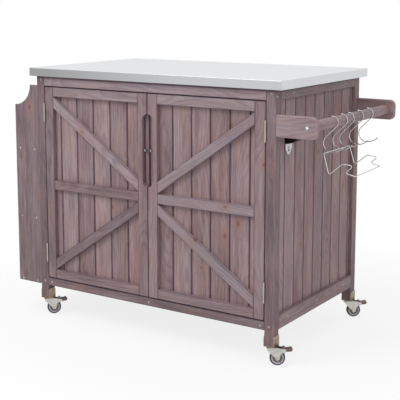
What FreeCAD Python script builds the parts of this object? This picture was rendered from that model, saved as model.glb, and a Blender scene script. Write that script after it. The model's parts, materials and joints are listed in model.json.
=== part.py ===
"""Grill cart with storage: a slatted wooden cabinet on four braked swivel casters.

A steel-clad worktop lies on a frame of four legs and their rails. Two ledged and braced doors
close the front, a spice rack is fixed to the left side, and a towel bar with S-hooks, a hung
wire rack and a bottle opener are on the right side.

Axes: +X to the right seen from the front, +Y to the back, +Z up. Everything is laid out about the
middle of the worktop, and the whole cart is then moved so that the origin lies on the floor under
the middle of its box. Millimetres.
"""

import FreeCAD, Part
import math
import os

V = FreeCAD.Vector

# Worktop
worktop_length = 1036.0
worktop_depth = 640.0
worktop_height = 920.0
worktop_thickness = 29.0
worktop_sheet = 1.2
worktop_corner_radius = 4.0
side_overhang = 26.0
front_overhang = 12.0

# Legs and front rails
leg_size = 34.0
front_rail_thickness = 18.0
top_rail_height = 35.0
front_bottom_rail_height = 29.0
frame_underside = 117.0

# Side and rear panels
panel_rail_thickness = 12.0
side_bottom_rail_height = 48.0
slat_thickness = 10.0
slat_pitch = 69.0
side_first_slat = 49.0
rear_slat_count = 13
rear_top_rail_height = 75.0
rear_middle_rail_height = 60.0
rear_middle_rail_level = 452.0
rear_bottom_rail_height = 88.0
board_gap = 0.5
groove_size = 2.4

# Floor and inner shelf
floor_board_thickness = 12.0
floor_board_count = 12
bearer_width = 18.0
bearer_height = 17.0
shelf_level = 502.0
shelf_thickness = 12.0
shelf_board_count = 6
shelf_front_gap = 46.0
shelf_side_clearance = 1.0
cleat_size = 18.0
open_board_gap = 3.0

# Doors
door_gap = 3.0
door_end_gap = 3.0
door_frame_thickness = 14.0
door_plank_thickness = 10.0
stile_width = 38.0
door_rail_width = 34.0
middle_rail_level = 498.0
brace_width = 34.0
hinge_side_plank = 62.0
door_plank_pitch = 74.5
hand_slot_radius = 20.0
hand_slot_length = 248.0
hand_slot_level = 659.0
knob_offset = 12.0
knob_head_radius = 5.0
knob_head_length = 7.0
knob_neck_radius = 2.5
knob_neck_length = 6.0
knob_round = 2.0

# Door hinges and catches
hinge_length = 69.0
hinge_inset = 93.0
hinge_barrel_radius = 3.0
hinge_pin_radius = 1.5
hinge_leaf_thickness = 1.2
hinge_leaf_width = 15.0
hinge_knuckle_count = 5
hinge_screw_head_radius = 2.8
hinge_screw_radius = 1.5
hinge_screw_length = 13.0
hinge_screw_spacing = 40.0
hinge_screw_row = 9.3
barrel_clearance = 0.2
running_clearance = 0.05
knuckle_gap = 0.3
catch_offset = 62.0
catch_width = 34.0
catch_depth = 12.0
catch_height = 36.0
catch_drop = 18.0
catch_clearance = 0.3
strike_thickness = 1.0
strike_width = 26.0
strike_height = 13.0

# Spice rack on the left side
spice_rack_width = 110.0
spice_board_thickness = 15.0
spice_scoop_radius = 74.0
spice_shelf_thickness = 15.0
spice_shelf_levels = (124.5, 363.5, 619.0)
spice_screw_inset = 20.0
guard_rail_thickness = 12.0
guard_rail_height = 30.0
guard_rail_lift = 26.0

# Towel bar, its arms and the hooks on the right side
arm_length = 141.0
arm_height = 70.0
arm_thickness = 16.0
arm_corner_radius = 20.0
towel_bar_standoff = 106.0
towel_bar_drop = 112.0
towel_bar_radius = 17.5
hook_wire_radius = 1.5
hook_clearance = 0.3
hook_places = (-130.0, -61.0, -9.0, 66.0, 144.0)
hook_start_angle = 192.0
hook_bend_radius = 28.0
hook_bend_inward = 2.3
hook_bend_drop = 68.0
hook_tip_outward = 37.0
hook_tip_drop = 81.0
hook_ball_radius = 2.6

# Hung wire rack: its end outline from the top wire, as outward and downward distances
wire_rack_outline = ((0.0, 0.0), (19.0, 61.0), (64.0, 26.0), (104.0, 28.0), (74.0, 51.0), (110.0, 58.0))
wire_rack_front_stretch = 1.1
wire_rack_front_reach = 54.0
wire_rack_back_reach = 17.0
wire_rack_bend_radius = 5.0

# Bottle opener
opener_inset = 104.0
opener_drop = 121.0
opener_width = 44.0
opener_plate_thickness = 2.5
opener_height = 94.0
opener_shoulder_rise = 20.0
opener_tip_width = 14.0
opener_scoop_rise = 36.0
opener_scoop_reach = 44.0
opener_scoop_radius = 62.0
opener_lip = 4.0
opener_keyhole_radius = 4.0
opener_slot_radius = 2.2
opener_slot_rise = 9.0
opener_tooth_rise = 72.0
opener_tooth_reach = 17.0
opener_tooth_width = 22.0
opener_root_bite = 1.0
opener_keyhole_rise = 13.0
opener_high_screw_rise = 85.0

# Screws
screw_radius = 2.0
screw_head_radius = 4.2
screw_head_height = 2.0
bar_screw_head_radius = 6.5
bar_screw_head_height = 4.5
screw_bite = 24.0
short_screw_bite = 8.0
screw_clearance = 0.1
top_screw_drop = 13.0
rail_end_screw_drop = 22.0
bearer_screw_bite = 12.0
arm_screw_spacing = 35.0
low_screw_rise = 13.0
rail_screw_rise = 12.0
rail_screw_inset = 17.0
rear_top_screw_drop = 61.0
rear_low_screw_rise = 76.0
side_top_screw_inset = 84.0
side_low_screw_rise = 26.0
side_low_screw_inset = 64.0

# Casters
caster_height = 66.0
wheel_radius = 25.5
wheel_width = 18.0
tyre_depth = 5.0
tyre_round = 3.0
hub_recess_radius = 16.5
hub_recess_depth = 4.0
hub_boss_radius = 7.0
caster_trail = 20.0
axle_radius = 3.0
axle_head_radius = 5.0
axle_head_height = 2.5
caster_plate_thickness = 2.5
caster_tab_height = 36.0
caster_tab_corner = 5.0
caster_screw_bite = 12.0
caster_plate_screw_rise = 25.0
raceway_radius = 13.0
raceway_height = 2.8
kingpin_radius = 4.0
kingpin_head_radius = 6.5
kingpin_head_height = 2.0
swivel_gap = 0.3
crown_thickness = 2.5
crown_front = 15.0
fork_side_gap = 1.2
fork_thickness = 2.0
fork_toe_radius = 7.0
fork_heel_drop = 4.0
fork_throat_reach = 11.0
fork_throat_drop = 10.0
pedal_pivot_reach = 44.0
pedal_pivot_level = 51.0
pedal_pin_radius = 2.0
pedal_width = 18.0
pedal_press_angle = 25.0
pedal_cam_half_angle = 9.0
pedal_clearance = 0.3

# The brake pedal's outline from its pin, as outward and upward distances, without its cam
pedal_outline = (
    (4.0, -5.0),
    (21.5, -3.0),
    (25.0, 2.5),
    (21.5, 8.5),
    (8.0, 6.0),
    (2.5, 6.5),
    (-5.0, 12.0),
    (-9.5, 7.0),
)
caster_turns = {"front_left": 48.0, "front_right": 33.0, "rear_left": 42.0, "rear_right": 38.0}

# Values worked out from the ones above
half_length = worktop_length / 2 - side_overhang
half_depth = worktop_depth / 2 - front_overhang
inner_length = half_length - leg_size
inner_depth = half_depth - leg_size
frame_top = worktop_height - worktop_thickness
rail_underside = frame_top - top_rail_height
bottom_rail_top = frame_underside + front_bottom_rail_height
door_bottom = bottom_rail_top + door_end_gap
door_top = rail_underside - door_end_gap
door_hinge_edge = inner_length - door_gap
door_meeting_edge = door_gap / 2
door_frame_back = -half_depth + door_frame_thickness
door_back = door_frame_back + door_plank_thickness
side_slat_face = half_length - panel_rail_thickness
side_slat_back = side_slat_face - slat_thickness
rear_slat_face = half_depth - panel_rail_thickness
rear_slat_front = rear_slat_face - slat_thickness
floor_underside = bottom_rail_top - floor_board_thickness
leg_middle_x = half_length - leg_size / 2
leg_middle_y = half_depth - leg_size / 2
spice_outer = half_length + spice_rack_width
towel_bar_x = half_length + towel_bar_standoff
towel_bar_level = frame_top - towel_bar_drop
hook_radius = towel_bar_radius + hook_clearance + hook_wire_radius
hook_bend_x = towel_bar_x - hook_bend_inward
hook_bend_z = towel_bar_level - hook_bend_drop
rack_wire_x = hook_bend_x
rack_wire_z = hook_bend_z - hook_bend_radius + 2 * hook_wire_radius + hook_clearance
hinge_axis_x = inner_length - door_gap / 2
hinge_axis_y = -half_depth - hinge_barrel_radius - barrel_clearance
hinge_levels = (door_bottom + hinge_inset, door_top - hinge_inset)
wire_rack_front = hook_places[0] - wire_rack_front_reach
wire_rack_back = hook_places[2] + wire_rack_back_reach
opener_place = -half_depth + opener_inset
opener_top = frame_top - opener_drop
opener_bottom = opener_top - opener_height
opener_shoulder = opener_bottom + opener_shoulder_rise
opener_scoop_level = opener_bottom + opener_scoop_rise
opener_tooth_level = opener_bottom + opener_tooth_rise
opener_keyhole_level = opener_bottom + opener_keyhole_rise
opener_screw_levels = (opener_keyhole_level + opener_slot_rise, opener_bottom + opener_high_screw_rise)
top_screw_level = frame_top - top_screw_drop
rail_end_screw_level = frame_top - rail_end_screw_drop
low_screw_level = frame_underside + low_screw_rise
rail_screw_level = frame_underside + rail_screw_rise
rail_screw_place = inner_length - rail_screw_inset
rear_screw_levels = (
    frame_top - rear_top_screw_drop,
    rear_middle_rail_level,
    frame_underside + rear_low_screw_rise,
)
side_top_screw_place = inner_depth - side_top_screw_inset
side_low_screw_level = frame_underside + side_low_screw_rise
side_low_screw_place = inner_depth - side_low_screw_inset
caster_plate_screw_level = caster_height + caster_plate_screw_rise

nearly = 0.1
straight_down = 270.0
full_turn = 360.0
brace_rise_steps = 20

parts = {}
drillings = []
driven_screws = []


def block(x0, x1, y0, y1, z0, z1):
    """A box between two corners."""
    return Part.makeBox(x1 - x0, y1 - y0, z1 - z0, V(x0, y0, z0))


def rod(start, direction, radius, length):
    """A cylinder from its start point along a direction."""
    return Part.makeCylinder(radius, length, V(*start), V(*direction))


def prism(points, along):
    """A closed outline pushed along a vector."""
    outline = [V(*point) for point in points]
    return Part.Face(Part.makePolygon(outline + outline[:1])).extrude(V(*along))


def mirrored(shape):
    """The same piece on the other side of the middle plane."""
    return shape.mirror(V(0, 0, 0), V(1, 0, 0))


def group(shapes):
    """Separate solids kept together in one node."""
    solids = []
    for shape in shapes:
        solids.extend(shape.Solids)
    return solids[0] if len(solids) == 1 else Part.makeCompound(solids)


def keep(name, *shapes):
    """Stores the solids of one node."""
    parts[name] = list(shapes)


def domed_screw(start, direction, length, head_radius, head_height):
    """A shank with a shallow dome on its outer end, turned about its own axis."""
    dome_radius = (head_radius**2 + head_height**2) / (2 * head_height)
    half_arc = math.asin(head_radius / dome_radius) / 2
    crown = V(0, 0, head_height)
    shoulder = V(
        dome_radius * math.sin(half_arc), 0, head_height - dome_radius * (1 - math.cos(half_arc))
    )
    outline = Part.makePolygon(
        [
            crown,
            V(0, 0, -length),
            V(screw_radius, 0, -length),
            V(screw_radius, 0, 0),
            V(head_radius, 0, 0),
        ]
    )
    dome = Part.Arc(V(head_radius, 0, 0), shoulder, crown).toShape()
    screw = Part.Face(Part.Wire(outline.Edges + [dome])).revolve(V(0, 0, 0), V(0, 0, 1), full_turn)
    screw.Placement = FreeCAD.Placement(V(*start), FreeCAD.Rotation(V(0, 0, 1), V(*direction) * -1.0))
    return screw


def drive_screw(start, direction, length, nodes, head_radius=screw_head_radius, head_height=screw_head_height):
    """A domed screw on a face, and the holes that it needs in the pieces it holds."""
    driven_screws.append(domed_screw(start, direction, length, head_radius, head_height))
    hole = rod(start, direction, screw_radius + screw_clearance, length + screw_clearance)
    for node in nodes:
        drillings.append((node, hole))


def hidden_screw(start, direction, length, nodes):
    """A headless screw that lies wholly inside the wood, and its holes."""
    driven_screws.append(rod(start, direction, screw_radius, length))
    hole = rod(start, direction, screw_radius + screw_clearance, length + screw_clearance)
    for node in nodes:
        drillings.append((node, hole))


def drill_holes():
    """Cuts each screw's hole out of the solids that it passes through."""
    for node, hole in drillings:
        parts[node] = [
            solid.cut(hole) if solid.BoundBox.intersect(hole.BoundBox) else solid
            for solid in parts[node]
        ]


def grooved_board(low, high, back, face, bottom, top, axis):
    """An upright board with bevelled long edges on its face side.

    axis says along which row axis the board's width lies: "x" or "y".
    """
    inward = groove_size if back > face else -groove_size
    outline = (
        (low, back),
        (high, back),
        (high, face + inward),
        (high - groove_size, face),
        (low + groove_size, face),
        (low, face + inward),
    )
    if axis == "x":
        points = [(width, depth, bottom) for width, depth in outline]
    else:
        points = [(depth, width, bottom) for width, depth in outline]
    return prism(points, (0, 0, top - bottom))


def grooved_boards(edges, back, face, bottom, top, axis):
    """A row of upright boards between the given edges."""
    boards = []
    for low, high in zip(edges[:-1], edges[1:]):
        boards.append(
            grooved_board(
                low + board_gap / 2, high - board_gap / 2, back, face, bottom, top, axis
            )
        )
    return boards


def make_legs():
    for side_name, side in (("left", -1), ("right", 1)):
        for end_name, end in (("front", -1), ("rear", 1)):
            x = side * leg_middle_x
            y = end * leg_middle_y
            leg = block(
                x - leg_size / 2,
                x + leg_size / 2,
                y - leg_size / 2,
                y + leg_size / 2,
                caster_height,
                frame_top,
            )
            keep(f"leg_{end_name}_{side_name}", leg)


def make_front_rails():
    front = -half_depth
    back = front + front_rail_thickness
    top = block(-inner_length, inner_length, front, back, rail_underside, frame_top)
    bottom = block(-inner_length, inner_length, front, back, frame_underside, bottom_rail_top)
    keep("front_rails", top, bottom)
    for x in (-rail_screw_place, 0.0, rail_screw_place):
        length = front_rail_thickness + bearer_screw_bite
        drive_screw((x, front, rail_screw_level), (0, 1, 0), length, ["front_rails", "floor_bearers"])


def make_side(side_name, side):
    """One slatted side: two rails flush with the legs, and slats behind them."""
    outer = side * half_length
    inner = side * side_slat_face
    low_x, high_x = sorted((outer, inner))
    top = block(low_x, high_x, -inner_depth, inner_depth, rail_underside, frame_top)
    bottom = block(
        low_x,
        high_x,
        -inner_depth,
        inner_depth,
        frame_underside,
        frame_underside + side_bottom_rail_height,
    )
    keep(f"{side_name}_side_rails", top, bottom)
    edges = [-inner_depth]
    edge = -inner_depth + side_first_slat
    while edge < inner_depth - groove_size * 2:
        edges.append(edge)
        edge += slat_pitch
    edges.append(inner_depth)
    slats = grooved_boards(
        edges, side * side_slat_back, inner, frame_underside, frame_top, "y"
    )
    keep(f"{side_name}_slats", *slats)
    nodes = [f"{side_name}_side_rails", f"{side_name}_slats"]
    length = panel_rail_thickness + short_screw_bite
    for y in (-side_top_screw_place, side_top_screw_place):
        level = (rail_underside + frame_top) / 2
        drive_screw((outer, y, level), (-side, 0, 0), length, nodes)
    for y in (-side_low_screw_place, 0.0, side_low_screw_place):
        drive_screw((outer, y, side_low_screw_level), (-side, 0, 0), length, nodes)
    for end_name, end in (("front", -1), ("rear", 1)):
        leg = f"leg_{end_name}_{side_name}"
        for level in (top_screw_level, low_screw_level):
            start = (side * leg_middle_x, end * half_depth, level)
            drive_screw(start, (0, -end, 0), leg_size + screw_bite, [leg, f"{side_name}_slats"])


def make_rear():
    """The slatted back, with three rails flush with the legs."""
    spans = (
        (frame_top - rear_top_rail_height, frame_top),
        (
            rear_middle_rail_level - rear_middle_rail_height / 2,
            rear_middle_rail_level + rear_middle_rail_height / 2,
        ),
        (frame_underside, frame_underside + rear_bottom_rail_height),
    )
    rails = []
    for bottom, top in spans:
        rails.append(block(-inner_length, inner_length, rear_slat_face, half_depth, bottom, top))
    keep("rear_rails", *rails)
    width = 2 * inner_length / rear_slat_count
    edges = [-inner_length + width * i for i in range(rear_slat_count + 1)]
    slats = grooved_boards(
        edges, rear_slat_front, rear_slat_face, frame_underside, frame_top, "x"
    )
    keep("rear_slats", *slats)
    for side_name, side in (("left", -1), ("right", 1)):
        fasten = drive_screw if side_name == "right" else hidden_screw
        for level in rear_screw_levels:
            start = (side * half_length, half_depth - panel_rail_thickness / 2, level)
            nodes = [f"leg_rear_{side_name}", "rear_rails"]
            fasten(start, (-side, 0, 0), leg_size + screw_bite, nodes)
        start = (side * half_length, -half_depth + front_rail_thickness / 2, rail_end_screw_level)
        nodes = [f"leg_front_{side_name}", "front_rails"]
        fasten(start, (-side, 0, 0), leg_size + screw_bite, nodes)


def make_floor_and_shelf():
    """The cabinet floor on two bearers, and one shelf on two cleats."""
    front = -half_depth + front_rail_thickness
    bearers = []
    for low in (front, rear_slat_front - bearer_width):
        bearers.append(
            block(
                -inner_length,
                inner_length,
                low,
                low + bearer_width,
                floor_underside - bearer_height,
                floor_underside,
            )
        )
    keep("floor_bearers", *bearers)
    width = 2 * inner_length / floor_board_count
    boards = []
    for i in range(floor_board_count):
        low = -inner_length + width * i
        boards.append(
            block(
                low + open_board_gap / 2,
                low + width - open_board_gap / 2,
                front,
                rear_slat_front,
                floor_underside,
                bottom_rail_top,
            )
        )
    keep("floor_boards", *boards)
    shelf_front = -half_depth + shelf_front_gap
    width = (inner_depth - shelf_front) / shelf_board_count
    reach = side_slat_back - shelf_side_clearance
    boards = []
    for i in range(shelf_board_count):
        low = shelf_front + width * i
        boards.append(
            block(
                -reach,
                reach,
                low,
                low + width - open_board_gap,
                shelf_level - shelf_thickness,
                shelf_level,
            )
        )
    keep("shelf_boards", *boards)
    cleats = []
    for side in (-1, 1):
        low_x, high_x = sorted((side * side_slat_back, side * (side_slat_back - cleat_size)))
        top = shelf_level - shelf_thickness
        cleats.append(block(low_x, high_x, -inner_depth, inner_depth, top - cleat_size, top))
    keep("shelf_cleats", *cleats)


def make_worktop():
    """A folded steel tray turned upside down over a wooden core."""
    half_x = worktop_length / 2
    half_y = worktop_depth / 2
    tray = block(-half_x, half_x, -half_y, half_y, frame_top, worktop_height)
    upright = [edge for edge in tray.Edges if edge.BoundBox.ZLength > worktop_thickness / 2]
    tray = tray.makeFillet(worktop_corner_radius, upright)
    rim = [edge for edge in tray.Edges if edge.BoundBox.ZMin > worktop_height - nearly]
    tray = tray.makeFillet(worktop_sheet, rim)
    core = block(
        -half_x + worktop_sheet,
        half_x - worktop_sheet,
        -half_y + worktop_sheet,
        half_y - worktop_sheet,
        frame_top,
        worktop_height - worktop_sheet,
    )
    upright = [edge for edge in core.Edges if edge.BoundBox.ZLength > worktop_thickness / 2]
    core = core.makeFillet(worktop_corner_radius - worktop_sheet, upright)
    keep("worktop_tray", tray.cut(core))
    keep("worktop_core", core)


def brace(left_x, right_x, left_low, right_low):
    """A sloping board whose ends are cut upright. The low values are its underside at each end."""
    slope = math.atan2(abs(right_low - left_low), right_x - left_x)
    rise = brace_width / math.cos(slope)
    front = -half_depth
    points = (
        (left_x, front, left_low),
        (right_x, front, right_low),
        (right_x, front, right_low + rise),
        (left_x, front, left_low + rise),
    )
    return prism(points, (0, door_frame_thickness, 0))


def brace_rise(run, height):
    """The upright thickness of a brace that just fills an opening from corner to corner."""
    rise = brace_width
    for _ in range(brace_rise_steps):
        slope = math.atan2(height - rise, run)
        rise = brace_width / math.cos(slope)
    return rise


def left_door_pieces():
    """The left door's wooden pieces. The right door is its mirror image."""
    outer = -door_hinge_edge
    inner = -door_meeting_edge
    front = -half_depth
    back = door_frame_back
    left = outer + stile_width
    right = inner - stile_width
    hinge_stile = block(outer, left, front, back, door_bottom, door_top)
    meeting_stile = block(right, inner, front, back, door_bottom, door_top)
    half_slot = hand_slot_length / 2 - hand_slot_radius
    slot = block(
        -hand_slot_radius,
        hand_slot_radius,
        front,
        back,
        hand_slot_level - half_slot,
        hand_slot_level + half_slot,
    )
    for level in (hand_slot_level - half_slot, hand_slot_level + half_slot):
        slot = slot.fuse(rod((0, front, level), (0, 1, 0), hand_slot_radius, door_frame_thickness))
    meeting_stile = meeting_stile.cut(slot)
    middle_low = middle_rail_level - door_rail_width / 2
    middle_high = middle_rail_level + door_rail_width / 2
    rails = []
    for bottom in (door_bottom, middle_low, door_top - door_rail_width):
        rails.append(block(left, right, front, back, bottom, bottom + door_rail_width))
    lower_floor = door_bottom + door_rail_width
    upper_ceiling = door_top - door_rail_width
    upper_rise = brace_rise(right - left, upper_ceiling - middle_high)
    lower_rise = brace_rise(right - left, middle_low - lower_floor)
    upper = brace(left, right, upper_ceiling - upper_rise, middle_high)
    lower = brace(left, right, lower_floor, middle_low - lower_rise)
    edges = [outer]
    edge = outer + hinge_side_plank
    while edge < inner:
        edges.append(edge)
        edge += door_plank_pitch
    edges.append(inner)
    planks = grooved_boards(edges, door_back, back, door_bottom, door_top, "x")
    return [hinge_stile, meeting_stile] + rails, [upper, lower], planks


def left_knob():
    """A small turned knob on the strip behind the hand slot."""
    start = (-knob_offset, door_frame_back, hand_slot_level)
    neck = rod(start, (0, -1, 0), knob_neck_radius, knob_neck_length)
    head_start = (-knob_offset, door_frame_back - knob_neck_length, hand_slot_level)
    head = rod(head_start, (0, -1, 0), knob_head_radius, knob_head_length)
    front = head_start[1] - knob_head_length
    head = head.makeFillet(knob_round, [edge for edge in head.Edges if edge.BoundBox.YMax < front + nearly])
    return neck.fuse(head).removeSplitter()


def hinge_parts(level):
    """One left butt hinge: its frame leaf, its door leaf and its pin."""
    x = -hinge_axis_x
    y = hinge_axis_y
    bottom = level - hinge_length / 2
    segment = hinge_length / hinge_knuckle_count
    leaf_start = -half_depth
    frame_low = -inner_length
    door_high = -door_hinge_edge
    frame_leaf = block(
        frame_low,
        frame_low + hinge_leaf_thickness,
        leaf_start,
        leaf_start + hinge_leaf_width,
        bottom,
        bottom + hinge_length,
    )
    door_leaf = block(
        door_high - hinge_leaf_thickness,
        door_high,
        leaf_start,
        leaf_start + hinge_leaf_width,
        bottom,
        bottom + hinge_length,
    )
    for i in range(hinge_knuckle_count):
        low = bottom + segment * i + knuckle_gap / 2
        length = segment - knuckle_gap
        knuckle = rod((x, y, low), (0, 0, 1), hinge_barrel_radius, length)
        if i % 2 == 0:
            tab = block(frame_low, frame_low + hinge_leaf_thickness, y, leaf_start, low, low + length)
            frame_leaf = frame_leaf.fuse(knuckle).fuse(tab)
        else:
            tab = block(door_high - hinge_leaf_thickness, door_high, y, leaf_start, low, low + length)
            door_leaf = door_leaf.fuse(knuckle).fuse(tab)
    bore = rod((x, y, bottom), (0, 0, 1), hinge_pin_radius + running_clearance, hinge_length)
    pin = rod((x, y, bottom), (0, 0, 1), hinge_pin_radius, hinge_length)
    return frame_leaf.cut(bore).removeSplitter(), door_leaf.cut(bore).removeSplitter(), pin


def leaf_screw(x, level, direction):
    """A flush screw through a hinge leaf into the wood: the screw, its seat and its hole."""
    start = (x, -half_depth + hinge_screw_row, level)
    along = (direction, 0, 0)
    head = rod(start, along, hinge_screw_head_radius, hinge_leaf_thickness)
    shank = rod(start, along, hinge_screw_radius, hinge_screw_length)
    seat = rod(start, along, hinge_screw_head_radius + running_clearance, hinge_leaf_thickness)
    length = hinge_screw_length + screw_clearance
    hole = rod(start, along, hinge_screw_radius + screw_clearance, length)
    return head.fuse(shank).removeSplitter(), seat, hole


def left_hinges():
    """Both left hinges: the solids on the frame, those on the door, and the holes in each."""
    frame_side = []
    door_side = []
    leg_holes = []
    stile_holes = []
    for level in hinge_levels:
        frame_leaf, door_leaf, pin = hinge_parts(level)
        for offset in (-hinge_screw_spacing / 2, hinge_screw_spacing / 2):
            screw, seat, hole = leaf_screw(-inner_length + hinge_leaf_thickness, level + offset, -1)
            frame_leaf = frame_leaf.cut(seat)
            frame_side.append(screw)
            leg_holes.append(hole)
            screw, seat, hole = leaf_screw(-door_hinge_edge - hinge_leaf_thickness, level + offset, 1)
            door_leaf = door_leaf.cut(seat)
            door_side.append(screw)
            stile_holes.append(hole)
        frame_side += [frame_leaf, pin]
        door_side.append(door_leaf)
    return frame_side, door_side, leg_holes, stile_holes


def left_strike():
    """The steel plate on the door's back that the magnet pulls."""
    top = door_top - strike_thickness * 2
    return block(
        -catch_offset - strike_width / 2,
        -catch_offset + strike_width / 2,
        door_back,
        door_back + strike_thickness,
        top - strike_height,
        top,
    )


def left_catch():
    """A magnet catch on the back of the front top rail, hanging down behind the door."""
    low_x = -catch_offset - catch_width / 2
    high_x = low_x + catch_width
    rail_back = -half_depth + front_rail_thickness
    face = door_back + strike_thickness + catch_clearance
    body = block(
        low_x,
        high_x,
        rail_back,
        face + catch_depth,
        rail_underside + strike_thickness,
        rail_underside + catch_height - catch_drop,
    )
    nose = block(low_x, high_x, face, face + catch_depth, rail_underside - catch_drop, rail_underside + catch_drop)
    return body.fuse(nose).removeSplitter()


def on_side(side_name, shapes):
    """Pieces made for the left side, or their mirror images on the right."""
    return shapes if side_name == "left" else [mirrored(shape) for shape in shapes]


def make_doors():
    frame, braces, planks = left_door_pieces()
    frame_side, door_side, leg_holes, stile_holes = left_hinges()
    hinges = []
    catches = []
    for side_name in ("left", "right"):
        keep(f"{side_name}_door_frame", *on_side(side_name, frame))
        keep(f"{side_name}_door_braces", *on_side(side_name, braces))
        keep(f"{side_name}_door_planks", *on_side(side_name, planks))
        keep(f"{side_name}_door_knob", *on_side(side_name, [left_knob()]))
        keep(f"{side_name}_door_hardware", *on_side(side_name, door_side + [left_strike()]))
        hinges += on_side(side_name, frame_side)
        catches += on_side(side_name, [left_catch()])
        for hole in on_side(side_name, leg_holes):
            drillings.append((f"leg_front_{side_name}", hole))
        for hole in on_side(side_name, stile_holes):
            drillings.append((f"{side_name}_door_frame", hole))
    keep("frame_hinges", *hinges)
    keep("magnet_catches", *catches)


def spice_board(low_y):
    """An end board of the spice rack with a quarter-round scoop at its upper outer corner."""
    board = block(
        -spice_outer,
        -half_length,
        low_y,
        low_y + spice_board_thickness,
        frame_underside,
        rail_underside,
    )
    scoop = rod((-spice_outer, low_y, rail_underside), (0, 1, 0), spice_scoop_radius, spice_board_thickness)
    return board.cut(scoop)


def make_spice_rack():
    keep("spice_rack_ends", spice_board(-half_depth), spice_board(half_depth - spice_board_thickness))
    reach = half_depth - spice_board_thickness
    shelves = []
    guards = []
    for level in spice_shelf_levels:
        bottom = level - spice_shelf_thickness / 2
        top = bottom + spice_shelf_thickness
        shelves.append(block(-spice_outer, -half_length, -reach, reach, bottom, top))
        guards.append(
            block(
                -spice_outer,
                -spice_outer + guard_rail_thickness,
                -reach,
                reach,
                top + guard_rail_lift,
                top + guard_rail_lift + guard_rail_height,
            )
        )
        for end in (-1, 1):
            for x in (-spice_outer + spice_screw_inset, -half_length - spice_screw_inset):
                start = (x, end * half_depth, level)
                nodes = ["spice_rack_ends", "spice_shelves"]
                drive_screw(start, (0, -end, 0), screw_bite + spice_board_thickness, nodes)
    keep("spice_shelves", *shelves)
    keep("spice_guard_rails", *guards)


def towel_arm(low_y):
    """A bar arm, screwed by its end to the leg, with two round outer corners."""
    bottom = towel_bar_level - arm_height / 2
    arm = block(
        half_length,
        half_length + arm_length,
        low_y,
        low_y + arm_thickness,
        bottom,
        bottom + arm_height,
    )
    tip = half_length + arm_length
    corners = [edge for edge in arm.Edges if edge.BoundBox.XMin > tip - nearly and edge.BoundBox.ZLength < nearly]
    return arm.makeFillet(arm_corner_radius, corners)


def make_towel_bar():
    reach = half_depth - arm_thickness
    keep("towel_arm_front", towel_arm(-half_depth))
    keep("towel_arm_rear", towel_arm(half_depth - arm_thickness))
    keep("towel_bar", rod((towel_bar_x, -reach, towel_bar_level), (0, 1, 0), towel_bar_radius, 2 * reach))
    for end_name, end in (("front", -1), ("rear", 1)):
        drive_screw(
            (towel_bar_x, end * half_depth, towel_bar_level),
            (0, -end, 0),
            arm_thickness + screw_bite,
            [f"towel_arm_{end_name}", "towel_bar"],
            bar_screw_head_radius,
            bar_screw_head_height,
        )
        for offset in (-arm_screw_spacing / 2, arm_screw_spacing / 2):
            start = (inner_length, end * (half_depth - arm_thickness / 2), towel_bar_level + offset)
            nodes = [f"leg_{end_name}_right", f"towel_arm_{end_name}"]
            hidden_screw(start, (1, 0, 0), leg_size + screw_bite, nodes)


def arc_edge(centre, radius, start, end, y):
    """An arc in an upright plane, between two angles in degrees."""
    def at(angle):
        turn = math.radians(angle)
        return V(centre[0] + radius * math.cos(turn), y, centre[1] + radius * math.sin(turn))

    return Part.Arc(at(start), at((start + end) / 2), at(end)).toShape()


def swept_wire(edges, radius):
    """A round wire along tangent edges."""
    path = Part.Wire(edges)
    start = edges[0].firstVertex().Point
    tangent = edges[0].tangentAt(edges[0].FirstParameter)
    section = Part.Wire([Part.makeCircle(radius, start, tangent)])
    shell = Part.BRepOffsetAPI.MakePipeShell(path)
    shell.add(section)
    shell.build()
    shell.makeSolid()
    return shell.shape()


def s_hook(y):
    """An S-hook over the bar: an upper bend, a sloping shank, a wide lower bend and a curled tail."""
    bar = (towel_bar_x, towel_bar_level)
    bend = (hook_bend_x, hook_bend_z)
    span = math.hypot(hook_bend_inward, hook_bend_drop)
    heading = math.degrees(math.atan2(-hook_bend_drop, -hook_bend_inward))
    lean = math.degrees(math.acos((hook_radius + hook_bend_radius) / span))
    leave = heading + lean
    upper = arc_edge(bar, hook_radius, hook_start_angle, leave, y)
    arrive = leave + full_turn / 2
    lower = arc_edge(bend, hook_bend_radius, arrive, straight_down, y)
    shank = Part.makeLine(upper.lastVertex().Point, lower.firstVertex().Point)
    tip = (towel_bar_x + hook_tip_outward, towel_bar_level - hook_tip_drop)
    run = tip[0] - bend[0]
    rise = tip[1] - (bend[1] - hook_bend_radius)
    tail_radius = (run**2 + rise**2) / (2 * rise)
    tail_turn = math.degrees(math.asin(run / tail_radius))
    tail_centre = (bend[0], bend[1] - hook_bend_radius + tail_radius)
    tail = arc_edge(tail_centre, tail_radius, straight_down, straight_down + tail_turn, y)
    wire = swept_wire([upper, shank, lower, tail], hook_wire_radius)
    ball = Part.makeSphere(hook_ball_radius, V(tip[0], y, tip[1]))
    return wire.fuse(ball).removeSplitter()


def rounded_loop(points, radius):
    """Tangent edges round a closed loop of points, with an arc at each corner."""
    edges = []
    count = len(points)
    starts = []
    ends = []
    middles = []
    for i in range(count):
        corner = points[i]
        to_last = (points[i - 1] - corner).normalize()
        to_next = (points[(i + 1) % count] - corner).normalize()
        half_turn = to_last.getAngle(to_next) / 2
        cut = radius / math.tan(half_turn)
        bisector = (to_last + to_next).normalize()
        centre = corner + bisector * (radius / math.sin(half_turn))
        starts.append(corner + to_last * cut)
        ends.append(corner + to_next * cut)
        middles.append(centre - bisector * radius)
    for i in range(count):
        edges.append(Part.Arc(starts[i], middles[i], ends[i]).toShape())
        edges.append(Part.makeLine(ends[i], starts[(i + 1) % count]))
    return edges


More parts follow.
